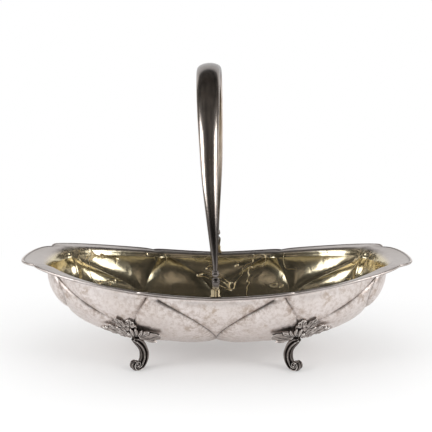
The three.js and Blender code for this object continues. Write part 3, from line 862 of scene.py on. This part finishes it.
def shell_notes(tarnish):
    """What the shell's finish reads in each row: up the outside, round the bead and down the inside."""
    body = np.zeros(BODY_ROWS + 1)
    flange = np.ones(FLANGE_ROWS)
    bead = np.zeros(BEAD_ROWS - 1)
    plain = np.zeros(BODY_ROWS + 1 + SHOULDER_ROWS + FLANGE_ROWS)
    up_shoulder = np.linspace(0, 1, SHOULDER_ROWS)
    over_wall = np.repeat(tarnish[-1:], SHOULDER_ROWS + FLANGE_ROWS, 0) * 0.5
    seams = np.concatenate([tarnish, over_wall])
    bead_seams = np.zeros((len(bead), tarnish.shape[1]))
    gilt_end = smooth(0.25, 0.75, np.arange(1, SHOULDER_ROWS + 1) / SHOULDER_ROWS)
    gilding = np.concatenate([body + 1, 1 - gilt_end, flange * 0])
    # The rim's painted grey, standing in for its darker reflection, over the inside shoulder and the
    # flange's top.
    lip = np.concatenate([body, np.linspace(0.5, 1, SHOULDER_ROWS), flange])
    # Painted shadow under the rim: over the outside shoulder, the flange's underside and the bead's lower
    # half.
    shade = np.concatenate([body, smooth(0.2, 0.9, up_shoulder), flange])
    bead_shade = smooth(0.5, 0.1, np.linspace(0, 1, len(bead))) * 0.95
    corner = np.concatenate([plain, bead, plain])
    bead_end = len(plain) + len(bead)
    corner[bead_end - 1:bead_end + 3] = (0.6, 1, 0.8, 0.3)
    return {
        "seam": np.concatenate([seams, bead_seams, seams[::-1]]),
        "gilt": np.concatenate([plain, bead, gilding[::-1]]),
        "rim": np.concatenate([plain, bead, lip[::-1]]),
        "under": np.concatenate([shade, bead_shade, plain]),
        "corner": corner,
    }


def bowl():
    angles, outside, inside, wall_groove, tarnish = body_sheet()
    outer, bead, inner = rim_rows(angles, wall_groove)
    stack = np.concatenate([outside, outer, bead, inner[::-1], inside[::-1]])
    columns = len(angles)

    def place(i, j):
        return stack[j, i % columns]

    shell = bent_grid("bowl_shell_silver_and_gilt", columns, len(stack) - 1, place)
    column, row = grid_places(shell, columns)
    for name, values in shell_notes(tarnish).items():
        note(shell, name, values[row, column] if values.ndim == 2 else values[row])
    close_up(shell)
    smooth_shade(shell)
    dress(shell, SHELL, "bowl", "silver", "bowl_shell")


bowl()


# Handle, upright and then leaned

ARCH_STEPS = 4001
STRIP_STATIONS = 150


def arch_line(count):
    """The arch over the pivots, evenly spaced: its Y and Z, and the direction outwards."""
    rise = HANDLE_TOP - PIVOT - GRIP_HEIGHT
    start = math.asin(((KNOB_SEAT + SEAT_GAP) / rise) ** (ARCH_POWER / 2))
    turn = np.linspace(start, math.pi - start, ARCH_STEPS)
    y = ARCH_PLANE * np.sign(np.cos(turn)) * np.abs(np.cos(turn)) ** (2 / ARCH_POWER)
    z = rise * np.sin(turn) ** (2 / ARCH_POWER)
    line, heading = spaced(np.stack([y, z], -1), count)
    return line[:, 0], line[:, 1], heading[:, 1], -heading[:, 0]


def leaned(points):
    """Tips points about the pivots by the handle's lean, and lifts them to the pivots' height."""
    c, s = math.cos(-LEAN), math.sin(-LEAN)
    x, y, z = points.T
    return np.stack([c * x + s * z, y, -s * x + c * z + PIVOT], -1)


def strip(name, section, count):
    """A closed section, drawn as across and outward, carried along the arch."""
    y, z, out_y, out_z = arch_line(STRIP_STATIONS + 1)
    along = 1 - np.abs(2 * np.arange(STRIP_STATIONS + 1) / STRIP_STATIONS - 1)
    aside = ARM_SKEW * y / ARCH_PLANE * smooth(0, 0.4, along)

    def place(i, j):
        across, away = section((i % count) / count, along[j])
        return leaned(np.stack([across + aside[j], y[j] + out_y[j] * away, z[j] + out_z[j] * away], -1))

    piece = bent_grid(name, count, STRIP_STATIONS, place)
    _, station = grid_places(piece, count)
    reach = along[station]
    # Painted shade at the arch and the arms' ends, standing in for their dark reflections.
    note(piece, "dark_tone_and_painted_shade", smooth(0.6, 0.94, reach) + smooth(0.39, 0.15, reach))
    close_up(piece, fill=True)
    smooth_shade(piece, 50)
    return piece


def width_at(along):
    return mix(ARM_WIDTH, GRIP_WIDTH, np.sin(RIGHT_ANGLE * along))


def dome_section(turn, along):
    """A channel: half an oval outside, and the same inside by the sheet's thickness."""
    height = mix(ARM_HEIGHT, GRIP_HEIGHT, np.sin(RIGHT_ANGLE * along))
    outside = turn < 0.5
    angle = np.where(outside, turn * 2, 2 - turn * 2) * math.pi
    inset = np.where(outside, 0, STRIP_SHEET)
    return (width_at(along) / 2 - inset) * np.cos(angle), (height - inset) * np.sin(angle)


def lining_section(turn, along):
    """A strip with a flat outer face, a little below the channel, and a crowned inner one."""
    x = np.clip(np.abs(turn * 4 - 2) - 1, -1, 1)
    crown = LINING_SHEET + 0.5 * (1 - x * x)
    return x * width_at(along) / 2, np.where(turn < 0.5, -SEAT_GAP, -SEAT_GAP - crown)


def handle():
    dome = strip("handle_outer_strip", dome_section, 56)
    dress(dome, POLISHED, "handle", "polished_silver", "handle_dome")
    lining = strip("handle_inner_strip", lining_section, 32)
    dress(lining, POLISHED, "handle", "polished_silver", "handle_lining")


handle()


# Hinges, made for the side where y is positive

def bore(piece):
    """Drills a piece through for its pin, along Y at the pivot's height."""
    drill = started(
        bpy.ops.mesh.primitive_cylinder_add,
        vertices=64,
        radius=BORE_RADIUS * MM,
        depth=8 * MM,
        location=(0, ARCH_PLANE * MM, 0),
        rotation=(RIGHT_ANGLE, 0, 0),
    )
    apply(piece, "BOOLEAN", object=drill, operation="DIFFERENCE", solver="EXACT")
    only(drill)
    bpy.ops.object.delete()


def plate(name, outline, faces, rounding):
    """A flat casting with rounded edges: an outline in X and Z, with thickness along Y between two faces."""
    ahead = np.roll(outline, -1, 0) - np.roll(outline, 1, 0)
    inward = unit(np.stack([-ahead[:, 1], ahead[:, 0]], -1))
    turns = np.linspace(0, RIGHT_ANGLE, 6)
    steps = rounding * (1 - np.sin(turns))
    insets = rounding * (1 - np.cos(turns))
    low, high = faces
    at_y = np.concatenate([[low], low + steps[::-1], high - steps, [high]])
    rims = [outline + inward * inset for inset in np.concatenate([insets[::-1], insets])]
    middle = outline * 0 + outline.mean(0)
    loops = np.stack([middle, *rims, middle])

    def place(i, j):
        flat = loops[j, i % len(outline)]
        return np.stack([flat[:, 0], at_y[j], flat[:, 1]], -1)

    return closed_grid(name, len(outline), len(loops) - 1, place)


def evenly(corners, count):
    """Points spread evenly round a closed smooth outline."""
    corners = np.asarray(corners, dtype=float)
    line, _ = curve_through(np.concatenate([corners, corners[:1]]), count + 1)
    return line[:-1]


# The rim at the middle of a long side, out and up: a point on the flange, and the bead's centre

FLANGE_POINT = (70, 59.07)
BEAD_CENTRE = (73, 59.75)


def rim_surface(y):
    """The top of the rim at the middle of a long side."""
    flange = FLANGE_POINT[1] + (y - FLANGE_POINT[0]) * math.tan(SIDE_SLOPE)
    bead_rise = np.sqrt(np.clip(EDGE_RADIUS ** 2 - (y - BEAD_CENTRE[0]) ** 2, 0, None))
    return np.maximum(flange, BEAD_CENTRE[1] + bead_rise)


# The lug's outlines, across and up from the pivot

LUG_FOOT = -12.5
POST_HEAD = [(0, 2.75)]
POST_SIDE = [(-1.95, 1.95), (-2.75, 0), (-2.45, -2.4), (-2.15, -5), (-2.3, -7.4), (-3.05, -9.6),
             (-3.3, LUG_FOOT)]
POST_FOOT = [(0, LUG_FOOT - 0.2)]
CLAW = [(1.5, LUG_FOOT), (1.45, -9.4), (1.3, -7.6), (1.45, -6.2), (1.9, -5.3), (2.6, -5.6), (2.75, -6.9),
        (2.6, -8.4), (3.0, -9.8), (3.35, LUG_FOOT)]
CLAW_FACES = (LUG_OUTER - 0.7, LUG_OUTER + 1.55)
RIB_FACES = (LUG_OUTER - 0.7, LUG_OUTER + 0.6)
RIB = [(-0.45, LUG_FOOT), (-0.5, -9), (-0.35, -5.6), (0, -4.6), (0.35, -5.6), (0.5, -9), (0.45, LUG_FOOT)]


def hinge_lug():
    """A post with a rounded head and a spread foot, and two flared claws and a rib on its front."""
    post = POST_HEAD + POST_SIDE + POST_FOOT + [(-x, z) for x, z in POST_SIDE[::-1]]
    parts = [plate("lug_post", evenly(post, 96), (LUG_INNER, LUG_OUTER), rounding=0.35)]
    for side in (1, -1):
        outline = evenly(CLAW, 60)[::-1] * [side, 1]
        parts.append(plate("lug_claw", outline, CLAW_FACES, rounding=0.55))
    parts.append(plate("lug_rib", evenly(RIB, 48)[::-1], RIB_FACES, rounding=0.25))
    lug = cast_whole(joined("lug", parts), CAST_GRAIN, rounds=2)
    bore(lug)
    points = points_of(lug) / MM
    points[:, 2] = np.maximum(points[:, 2] + PIVOT, rim_surface(points[:, 1]) + SEAT_GAP)
    move_points(lug, points * MM)
    close_up(lug)
    return lug


# The rivet's heads: how far from its axis, and how far out from the post or the eye

RIVET_PLAY = 0.3
INNER_HEAD = [(0, -0.7), (0.7, -0.66), (1.3, -0.5), (1.68, -0.25), (1.76, -0.1), (1.7, 0)]
OUTER_HEAD = [(1.78, 0), (1.88, 0.12), (1.84, 0.3), (1.5, 0.55), (1.12, 0.66), (1.0, 0.6), (0.88, 0.62),
              (0.6, 0.78), (0.3, 0.86), (0, 0.88)]


def hinge_pin():
    """A rivet through the eye and the post, headed over outside and inside."""
    outer = EYE_OUTER + RIVET_PLAY
    inner = LUG_INNER - RIVET_PLAY
    shank = [(PIN_RADIUS, y) for y in (inner, inner + 0.1, outer - 0.1, outer)]
    profile = [(r, inner + y) for r, y in INNER_HEAD] + shank + [(r, outer + y) for r, y in OUTER_HEAD]
    profile = np.array(profile)
    count = 64

    def place(i, j):
        turn = ring_turn(i, count)
        radius, y = profile[j].T
        return np.stack([radius * np.cos(turn), y, PIVOT + radius * np.sin(turn)], -1)

    return closed_grid("pin", count, len(profile) - 1, place)


# The knuckle: its eye, its knob's half sizes, and each round part's half width, half depth, bottom and top

EYE_RADIUS = 2.07
EYE_WIRE = 0.72
KNOB_SIZE = (2.6, 1.72, 2.3)
NECK = (1.35, 0.7, 2.2, 5)
COLLAR = (2.35, 1.6, 6.5, 8.4)


def knuckle():
    """The bail's cast end: an eye, a neck and a knob with a collar, cut flat for the hollow strip."""
    eye = started(
        bpy.ops.mesh.primitive_torus_add,
        major_segments=72,
        minor_segments=24,
        major_radius=EYE_RADIUS * MM,
        minor_radius=EYE_WIRE * MM,
        location=(0, ARCH_PLANE * MM, 0),
        rotation=(RIGHT_ANGLE, 0, 0),
    )
    knob = started(
        bpy.ops.mesh.primitive_uv_sphere_add,
        segments=48,
        ring_count=32,
        radius=MM,
        scale=KNOB_SIZE,
        location=(0, ARCH_PLANE * MM, (KNOB_HEIGHT - 0.1) * MM),
    )
    parts = [eye, knob]
    for width, depth, bottom, top in (NECK, COLLAR):
        round_part = started(
            bpy.ops.mesh.primitive_cylinder_add,
            vertices=48,
            radius=MM,
            depth=(top - bottom) * MM,
            scale=(width, depth, 1),
            location=(0, ARCH_PLANE * MM, (top + bottom) / 2 * MM),
        )
        parts.append(round_part)
    whole = cast_whole(joined("knuckle", parts), CAST_GRAIN, rounds=2)
    points = points_of(whole) / MM
    points[:, 2] = np.minimum(points[:, 2], KNOB_SEAT)
    move_points(whole, leaned(points) * MM)
    close_up(whole)
    return whole


def hinges():
    kinds = (
        (hinge_lug(), "lug", "hinge_lug", "bowl", GILT, "gilt_silver"),
        (hinge_pin(), "pin", "hinge_pin", "bowl", POLISHED, "polished_silver"),
        (knuckle(), "knuckle", "handle_knuckle", "handle", POLISHED, "polished_silver"),
    )
    for piece, kind, node, body, material, slot in kinds:
        if kind == "lug":
            tarnish = smooth(-0.03, 0.07, hollows(piece, 14))
        else:
            tarnish = smooth(0, 0.1, hollows(piece, 8))
        note(piece, "hollow", tarnish * (kind != "pin"))
        height = points_of(piece)[:, 2] / MM - PIVOT
        # Dark grey round the pivots, on the knuckles and pins.
        note(piece, "dark_tone_and_painted_shade", smooth(16, 6, height) * 0.97)
        note(piece, "bare", smooth(-5.2, -3.2, height))
        smooth_shade(piece, 40 if kind == "pin" else 180)
        set_out(piece, kind, node, SIDES, material, body, slot)


# Feet, made for the quarter where x and y are positive

FOOT_DEPTH = float(depth_at(np.array(FOOT), CORNER_POINT))
SPRAY_TILT = 3.6
SPRAY_SPAN = 31
LEAF_GRAIN = 0.22
CAST_GAP = 1e-5
LEAF_CLEARANCE = 0.15
LEG_GRAIN = 0.16


def foot_scale(turn, rise):
    """Millimetres over the belly by the foot for each radian round the bowl, or up it."""
    a = body_point(np.array(FOOT + turn), np.array(FOOT_DEPTH + rise))
    b = body_point(np.array(FOOT - turn), np.array(FOOT_DEPTH - rise))
    return np.linalg.norm(a - b) / (2 * max(turn, rise))


AROUND_FOOT = foot_scale(0.01, 0)
UP_FOOT = foot_scale(0, 0.01)


def over_belly(across, up, away):
    """A point over the belly by the foot: across is towards the tip, up is towards the rim."""
    across, up, away = np.broadcast_arrays(*(np.asarray(v, dtype=float) for v in (across, up, away)))
    angle = FOOT - across / AROUND_FOOT
    depth = FOOT_DEPTH + up / UP_FOOT
    return body_point(angle, depth) + body_normal(angle, depth) * away[..., None]


def spray_ground(up):
    """How far the spray's ground stands off the belly: more below, towards the leg."""
    return SEAT_GAP + SPRAY_TILT * (0.5 - up / SPRAY_SPAN)


BLADE = 1.0
MIDRIB_DEPTH = 0.75
VEIN_DEPTH = 0.3


def leaflet(name, rib, half_width, lift, crown, lobes, ragged, curl):
    """A crowned blade with a sunk midrib, side veins and a ragged edge, 1 mm thick at the edge."""
    rows, across_count = 64, 36
    line, heading = curve_through(rib, rows + 1)
    side = np.stack([-heading[:, 1], heading[:, 0]], -1)
    u = np.arange(rows + 1) / rows
    body = np.interp(u, [0, 0.12, 0.45, 0.75, 0.93, 1], [0.35, 0.62, 1, 0.8, 0.38, 0.03])
    body = np.convolve(np.pad(body, 3, mode="edge"), np.ones(7) / 7, mode="valid")
    teeth = 1 - ragged * (0.5 + 0.5 * np.cos(2 * math.pi * lobes * (u ** 0.9)))
    width = half_width * body * np.where(u > 0.15, teeth, 1)
    count = 2 * across_count

    def place(i, j):
        k = i % count
        top = k < across_count
        v = np.where(top, 1 - 2 * k / across_count, -1 + 2 * (k - across_count) / across_count)
        flat = line[j] + side[j] * (width[j] * v)[:, None]
        size = width[j] / half_width
        arch = crown * size * (1 - np.abs(v) ** 1.6)
        midrib = MIDRIB_DEPTH * size * np.exp(-(v / 0.13) ** 2)
        wave = np.cos(2 * math.pi * lobes * (u[j] ** 0.9 - 0.24 * np.abs(v)))
        veins = VEIN_DEPTH * size * wave * np.sin(math.pi * np.abs(v)) ** 0.7
        turned = curl * size * np.abs(v) ** 3 + TIP_CURL * np.clip(u[j] - 0.75, 0, None) ** 2 * 8
        upper = spray_ground(flat[:, 1]) + lift + arch - midrib + veins + turned
        lower = np.maximum(LEAF_CLEARANCE, upper - BLADE - 1.4 * size * (1 - v * v) + midrib - veins)
        return over_belly(flat[:, 0], flat[:, 1], np.where(top, upper, lower))

    return closed_grid(name, count, rows, place, gap=CAST_GAP, fill=True)


def mound(name, centre, radii, height):
    """The boss under the leaflets, from which the leg springs."""
    rings, count = 16, 40

    def place(i, j):
        turn = ring_turn(i, count)
        top = j <= rings
        share = np.where(top, j / rings, 2 - j / rings)
        x = centre[0] + radii[0] * share * np.cos(turn)
        y = centre[1] + radii[1] * share * np.sin(turn)
        away = spray_ground(y) + height * np.sqrt(np.clip(1 - share ** 2, 0, 1)) - 0.6
        return over_belly(x, y, np.where(top, away, LEAF_CLEARANCE))

    return closed_grid(name, count, 2 * rings, place, gap=CAST_GAP)


def bead(centre, radius):
    return started(
        bpy.ops.mesh.primitive_uv_sphere_add,
        segments=20,
        ring_count=12,
        radius=radius * MM,
        location=Vector(centre) * MM,
    )


# Each leaflet's rib from the boss outwards, its half width, how far it is lifted, its crown, its lobes, how
# ragged its edge is and how far its edge curls up

TIP_CURL = 1.5
LEAFLETS = {
    "leaf_tip": ([(2, -2), (8, 0), (15, 1.4), (23.6, 2.6)], 4.8, 0.4, 1.9, 4, 0.26, 0.7),
    "leaf_second": ([(1, 1), (5.5, 5.2), (12.4, 9.2)], 3.3, 1.2, 1.7, 3, 0.3, 0.9),
    "leaf_top": ([(-0.5, 1), (0.6, 8), (2.4, 17.6)], 5.0, 0.5, 2.0, 4, 0.3, 1.2),
    "leaf_top_right": ([(-2, 2), (-4, 9), (-6.3, 17.4)], 4.4, 0.1, 1.9, 4, 0.3, 1.1),
    "leaf_ruffle_a": ([(-2.2, 1), (-3.6, 5.4), (-4.4, 9.6)], 1.5, 2.2, 1.7, 1, 0.1, 0),
    "leaf_ruffle_b": ([(-3.4, 0.5), (-6.2, 5.2), (-7.7, 9.8)], 1.5, 1.9, 1.7, 1, 0.1, 0),
    "leaf_ruffle_c": ([(-4.4, 0), (-8.6, 4.0), (-11.2, 8.0)], 1.6, 1.5, 1.6, 1, 0.1, 0),
    "leaf_ruffle_low": ([(-5, -0.5), (-10, 2.6), (-15.4, 6.4)], 2.2, 1.0, 1.7, 2, 0.3, 0.6),
    "leaf_back": ([(-4, -2.4), (-11.5, -1.6), (-20.8, 2.6)], 5.4, 0.2, 2.3, 2, 0.1, 0.5),
    "leaf_back_low": ([(-3, -3.4), (-8, -6.2), (-13, -7.8)], 2.6, 0.8, 1.6, 2, 0.12, 0.6),
    "leaf_under": ([(2, -3), (8, -4.6), (13.4, -5.2)], 2.8, 0, 1.5, 3, 0.16, 0),
}
BOSS_CENTRE = (-1, -2)
BOSS_RADII = (13, 7)
BOSS_HEIGHT = 1.2
BEAD_RISE = 1.7
LEAF_BEADS = ((14.6, 6.3, 1.1), (17.6, 5.2, 0.9), (0.4, 2.4, 1.5))


def leaf_spray():
    """Eleven leaflets and three beads on a boss, run together as one casting."""
    parts = [mound("leaf_boss", BOSS_CENTRE, BOSS_RADII, BOSS_HEIGHT)]
    parts += [leaflet(name, *sizes) for name, sizes in LEAFLETS.items()]
    for across, up, radius in LEAF_BEADS:
        parts.append(bead(over_belly(across, up, spray_ground(up) + BEAD_RISE), radius))
    return cast_whole(joined("leaf_spray", parts), LEAF_GRAIN, rounds=1)


# The leg's line in its upright plane: how far out from where it springs, and how high above the table

LEG_LINE = [(4.6, 23.4), (1.6, 22.0), (-2.2, 18.2), (-4.5, 13.6), (-4.95, 9.8), (-4.1, 6.2), (-1.6, 2.7),
            (1.5, 1.5), (3.7, 2.2), (4.5, 3.9), (3.8, 5.6), (2.2, 6.1), (1.0, 5.1), (1.2, 3.9), (2.0, 3.7)]
LEG_ROOT = (3.2, -10, 4.9)
LEG_ROWS = 140
LEG_TURN = math.radians(40)
LEG_MARKS = (0, 0.05, 0.14, 0.4, 0.58, 0.72, 1)
LEG_DEEP = (1.4, 2.6, 3.2, 3.15, 2.6, 1.9, 1.2)
LEG_WIDE = (1.9, 3.5, 4.1, 4.0, 3.8, 3.9, 3.6)
FLUTES = 6
FLUTE_DEPTH = 1.25
FLUTE_TURN = 0.5
SCROLL_EYE_OUT = 2.3
SCROLL_EYE_ASIDE = 3.0
SCROLL_EYE_HEIGHT = 3.9
SCROLL_EYE_RADIUS = 1.0


def scroll_leg():
    """A fluted scroll with an eye on either side of its curl, from the boss down to the table."""
    start = over_belly(*LEG_ROOT) * [1, 1, 0]
    out = np.array([math.cos(LEG_TURN), math.sin(LEG_TURN), 0])
    side = np.array([-out[1], out[0], 0])
    line, heading = curve_through(LEG_LINE, LEG_ROWS + 1)
    face = np.stack([heading[:, 1], -heading[:, 0]], -1)
    share = np.arange(LEG_ROWS + 1) / LEG_ROWS
    deep = np.interp(share, LEG_MARKS, LEG_DEEP)
    wide = np.interp(share, LEG_MARKS, LEG_WIDE)
    flute_depth = FLUTE_DEPTH * np.interp(share, [0, 0.1, 0.93, 1], [0.3, 1, 1, 0.4])
    count = 72

    def place(i, j):
        turn = ring_turn(i, count)
        c, s = np.cos(turn), np.sin(turn)
        cut = flute_depth[j] * (0.5 + 0.5 * np.cos(FLUTES * turn + FLUTE_TURN)) ** 1.5
        across = (wide[j] - cut) * np.sign(c) * np.abs(c) ** 0.85
        away = (deep[j] - cut) * np.sign(s) * np.abs(s) ** 0.85
        flat = line[j] + face[j] * away[:, None]
        point = start + out * flat[:, :1] + side * across[:, None]
        point[:, 2] = flat[:, 1]
        return point

    parts = [closed_grid("leg_scroll", count, LEG_ROWS, place, gap=CAST_GAP, fill=True)]
    for sign in (1, -1):
        centre = start + out * SCROLL_EYE_OUT + side * sign * SCROLL_EYE_ASIDE + [0, 0, SCROLL_EYE_HEIGHT]
        parts.append(bead(centre, SCROLL_EYE_RADIUS))
    whole = cast_whole(joined("leg", parts), LEG_GRAIN, rounds=1)
    points = points_of(whole)
    points[:, 2] = np.maximum(points[:, 2], 0)
    move_points(whole, points)
    return whole


def feet():
    kinds = (
        (leaf_spray(), "leaf", "foot_leaf", 14, (0.0, 0.16)),
        (scroll_leg(), "leg", "foot_leg", 16, (-0.12, 0.08)),
    )
    for piece, kind, node, passes, tarnished in kinds:
        sunk = hollows(piece, passes)
        note(piece, "hollow", smooth(*tarnished, sunk))
        note(piece, "ridge", smooth(0.04, 0.16, -sunk))
        smooth_shade(piece)
        set_out(piece, kind, node, QUARTERS, CAST, "bowl", "cast_silver")


hinges()
feet()


# Table, light and backdrop

LAMP_AIM = (0, 0, 0.08)


def table():
    """A pale table, plain white far off, that keeps the bowl's shadow."""
    floor = started(bpy.ops.mesh.primitive_plane_add, size=12, location=(0, 0, 0))
    floor.name = "table"
    f = Finish("table_white")
    f.feed(Base_Color=colour(0.94, 0.94, 0.94), Roughness=0.8, Specular_IOR_Level=0.1)
    away = f.node("ShaderNodeVectorMath", {"operation": "LENGTH"}, {0: f.object}, out="Value")
    seen = (f.ray("Camera") + f.ray("Glossy")).clamped()
    white = f.node("ShaderNodeEmission", None, {"Color": colour(1, 1, 1), "Strength": 1.0})
    surface = Signal(f, f.surface.outputs[0])
    share = away.between(0.1, 0.42) * 0.78 + 0.22
    mixed = f.node("ShaderNodeMixShader", None, {0: share * seen, 1: surface, 2: white})
    f.fill(f.tree.nodes["Material Output"].inputs["Surface"], mixed)
    floor.data.materials.append(f.material)


def reflected_only(card, finish):
    """Dresses a card off camera that only the metal's reflections show."""
    card.data.materials.append(finish.material)
    card.visible_camera = False
    card.visible_diffuse = False
    card.visible_shadow = False


def screen(name, sides, heights, shade, radius=1700):
    """A bent card round the bowl, mottled as a room is: sides and heights are angles from the front."""
    def place(i, j):
        side = np.radians(mix(sides[0], sides[1], i / 24))
        up = np.radians(mix(heights[0], heights[1], j / 40))
        around = np.stack([np.sin(side), -np.cos(side) * np.cos(up), np.cos(side) * np.sin(up)], -1)
        return around * radius + [0, 0, 60]

    f = Finish(name)
    dark = colour(shade * 0.5, shade * 0.48, shade * 0.46)
    light = colour(shade * 1.9, shade * 1.75, shade * 1.6)
    mottle = f.noise(2.2, 2, 0.5).between(0.38, 0.62)
    f.feed(Base_Color=f.blend(mottle, dark, light), Roughness=0.9, Specular_IOR_Level=0.1)
    reflected_only(bent_grid(name, 24, 40, place), f)


def dark_floor(name, x, y):
    """The room's dark floor beside the table, 2 mm over the table's top."""
    def place(i, j):
        return np.stack([mix(x[0], x[1], i / 8), mix(y[0], y[1], j / 8), i * 0 + 2], -1)

    f = Finish(name)
    f.feed(Base_Color=colour(0.012, 0.011, 0.01), Roughness=0.9, Specular_IOR_Level=0.0)
    reflected_only(bent_grid(name, 8, 8, place), f)


def softbox(name, side, up, width, height, strength, distance):
    """A soft lamp to one side of the front, turned to the bowl."""
    away = direction(side, up)
    bpy.ops.object.light_add(type="AREA", location=Vector(LAMP_AIM) + away * distance)
    lamp = bpy.context.object
    lamp.name = name
    lamp.data.shape = "RECTANGLE"
    lamp.data.size = width
    lamp.data.size_y = height
    lamp.data.energy = strength * math.pi * width * height
    lamp.rotation_euler = (-away).to_track_quat("-Z", "Y").to_euler()
    lamp.visible_camera = False


def studio():
    softbox("softbox_left", side=-61, up=18, width=0.60, height=0.80, strength=3.6, distance=1.3)
    softbox("softbox_right", side=60, up=18, width=0.60, height=0.80, strength=3.6, distance=1.3)
    screen("dark_card_front", (-71, 69), (-1.9, 72), 0.035)
    screen("dark_card_back_left", (-80, -42), (116, 170), 0.08)
    screen("dark_card_back_right", (42, 80), (116, 170), 0.08)
    screen("grey_card_left", (-89, -71), (-1.9, 115), 0.35)
    screen("grey_card_right", (69, 89), (-1.9, 115), 0.35)
    screen("dark_card_top", (-72, 70), (62, 130), 0.04, radius=1720)
    dark_floor("dark_floor_front", (-2000, 2000), (-1800, -330))
    dark_floor("dark_floor_left", (-2000, -500), (-330, 1200))
    dark_floor("dark_floor_right", (500, 2000), (-330, 1200))


def sky():
    """Even light from all round, which is plain white where the camera or a reflection sees it."""
    world = bpy.data.worlds.new("studio")
    bpy.context.scene.world = world
    world.use_nodes = True
    n = Nodes(world.node_tree)
    seen = (n.ray("Camera") + n.ray("Glossy") + n.ray("Transmission")).clamped()
    light = n.node("ShaderNodeMapRange", None, {"Value": seen, "To Min": 0.95, "To Max": 1.0})
    backdrop = world.node_tree.nodes["Background"].inputs
    n.fill(backdrop["Color"], colour(1, 1, 1))
    n.fill(backdrop["Strength"], light)


table()
studio()
sky()
bpy.context.scene.view_settings.view_transform = "Standard"
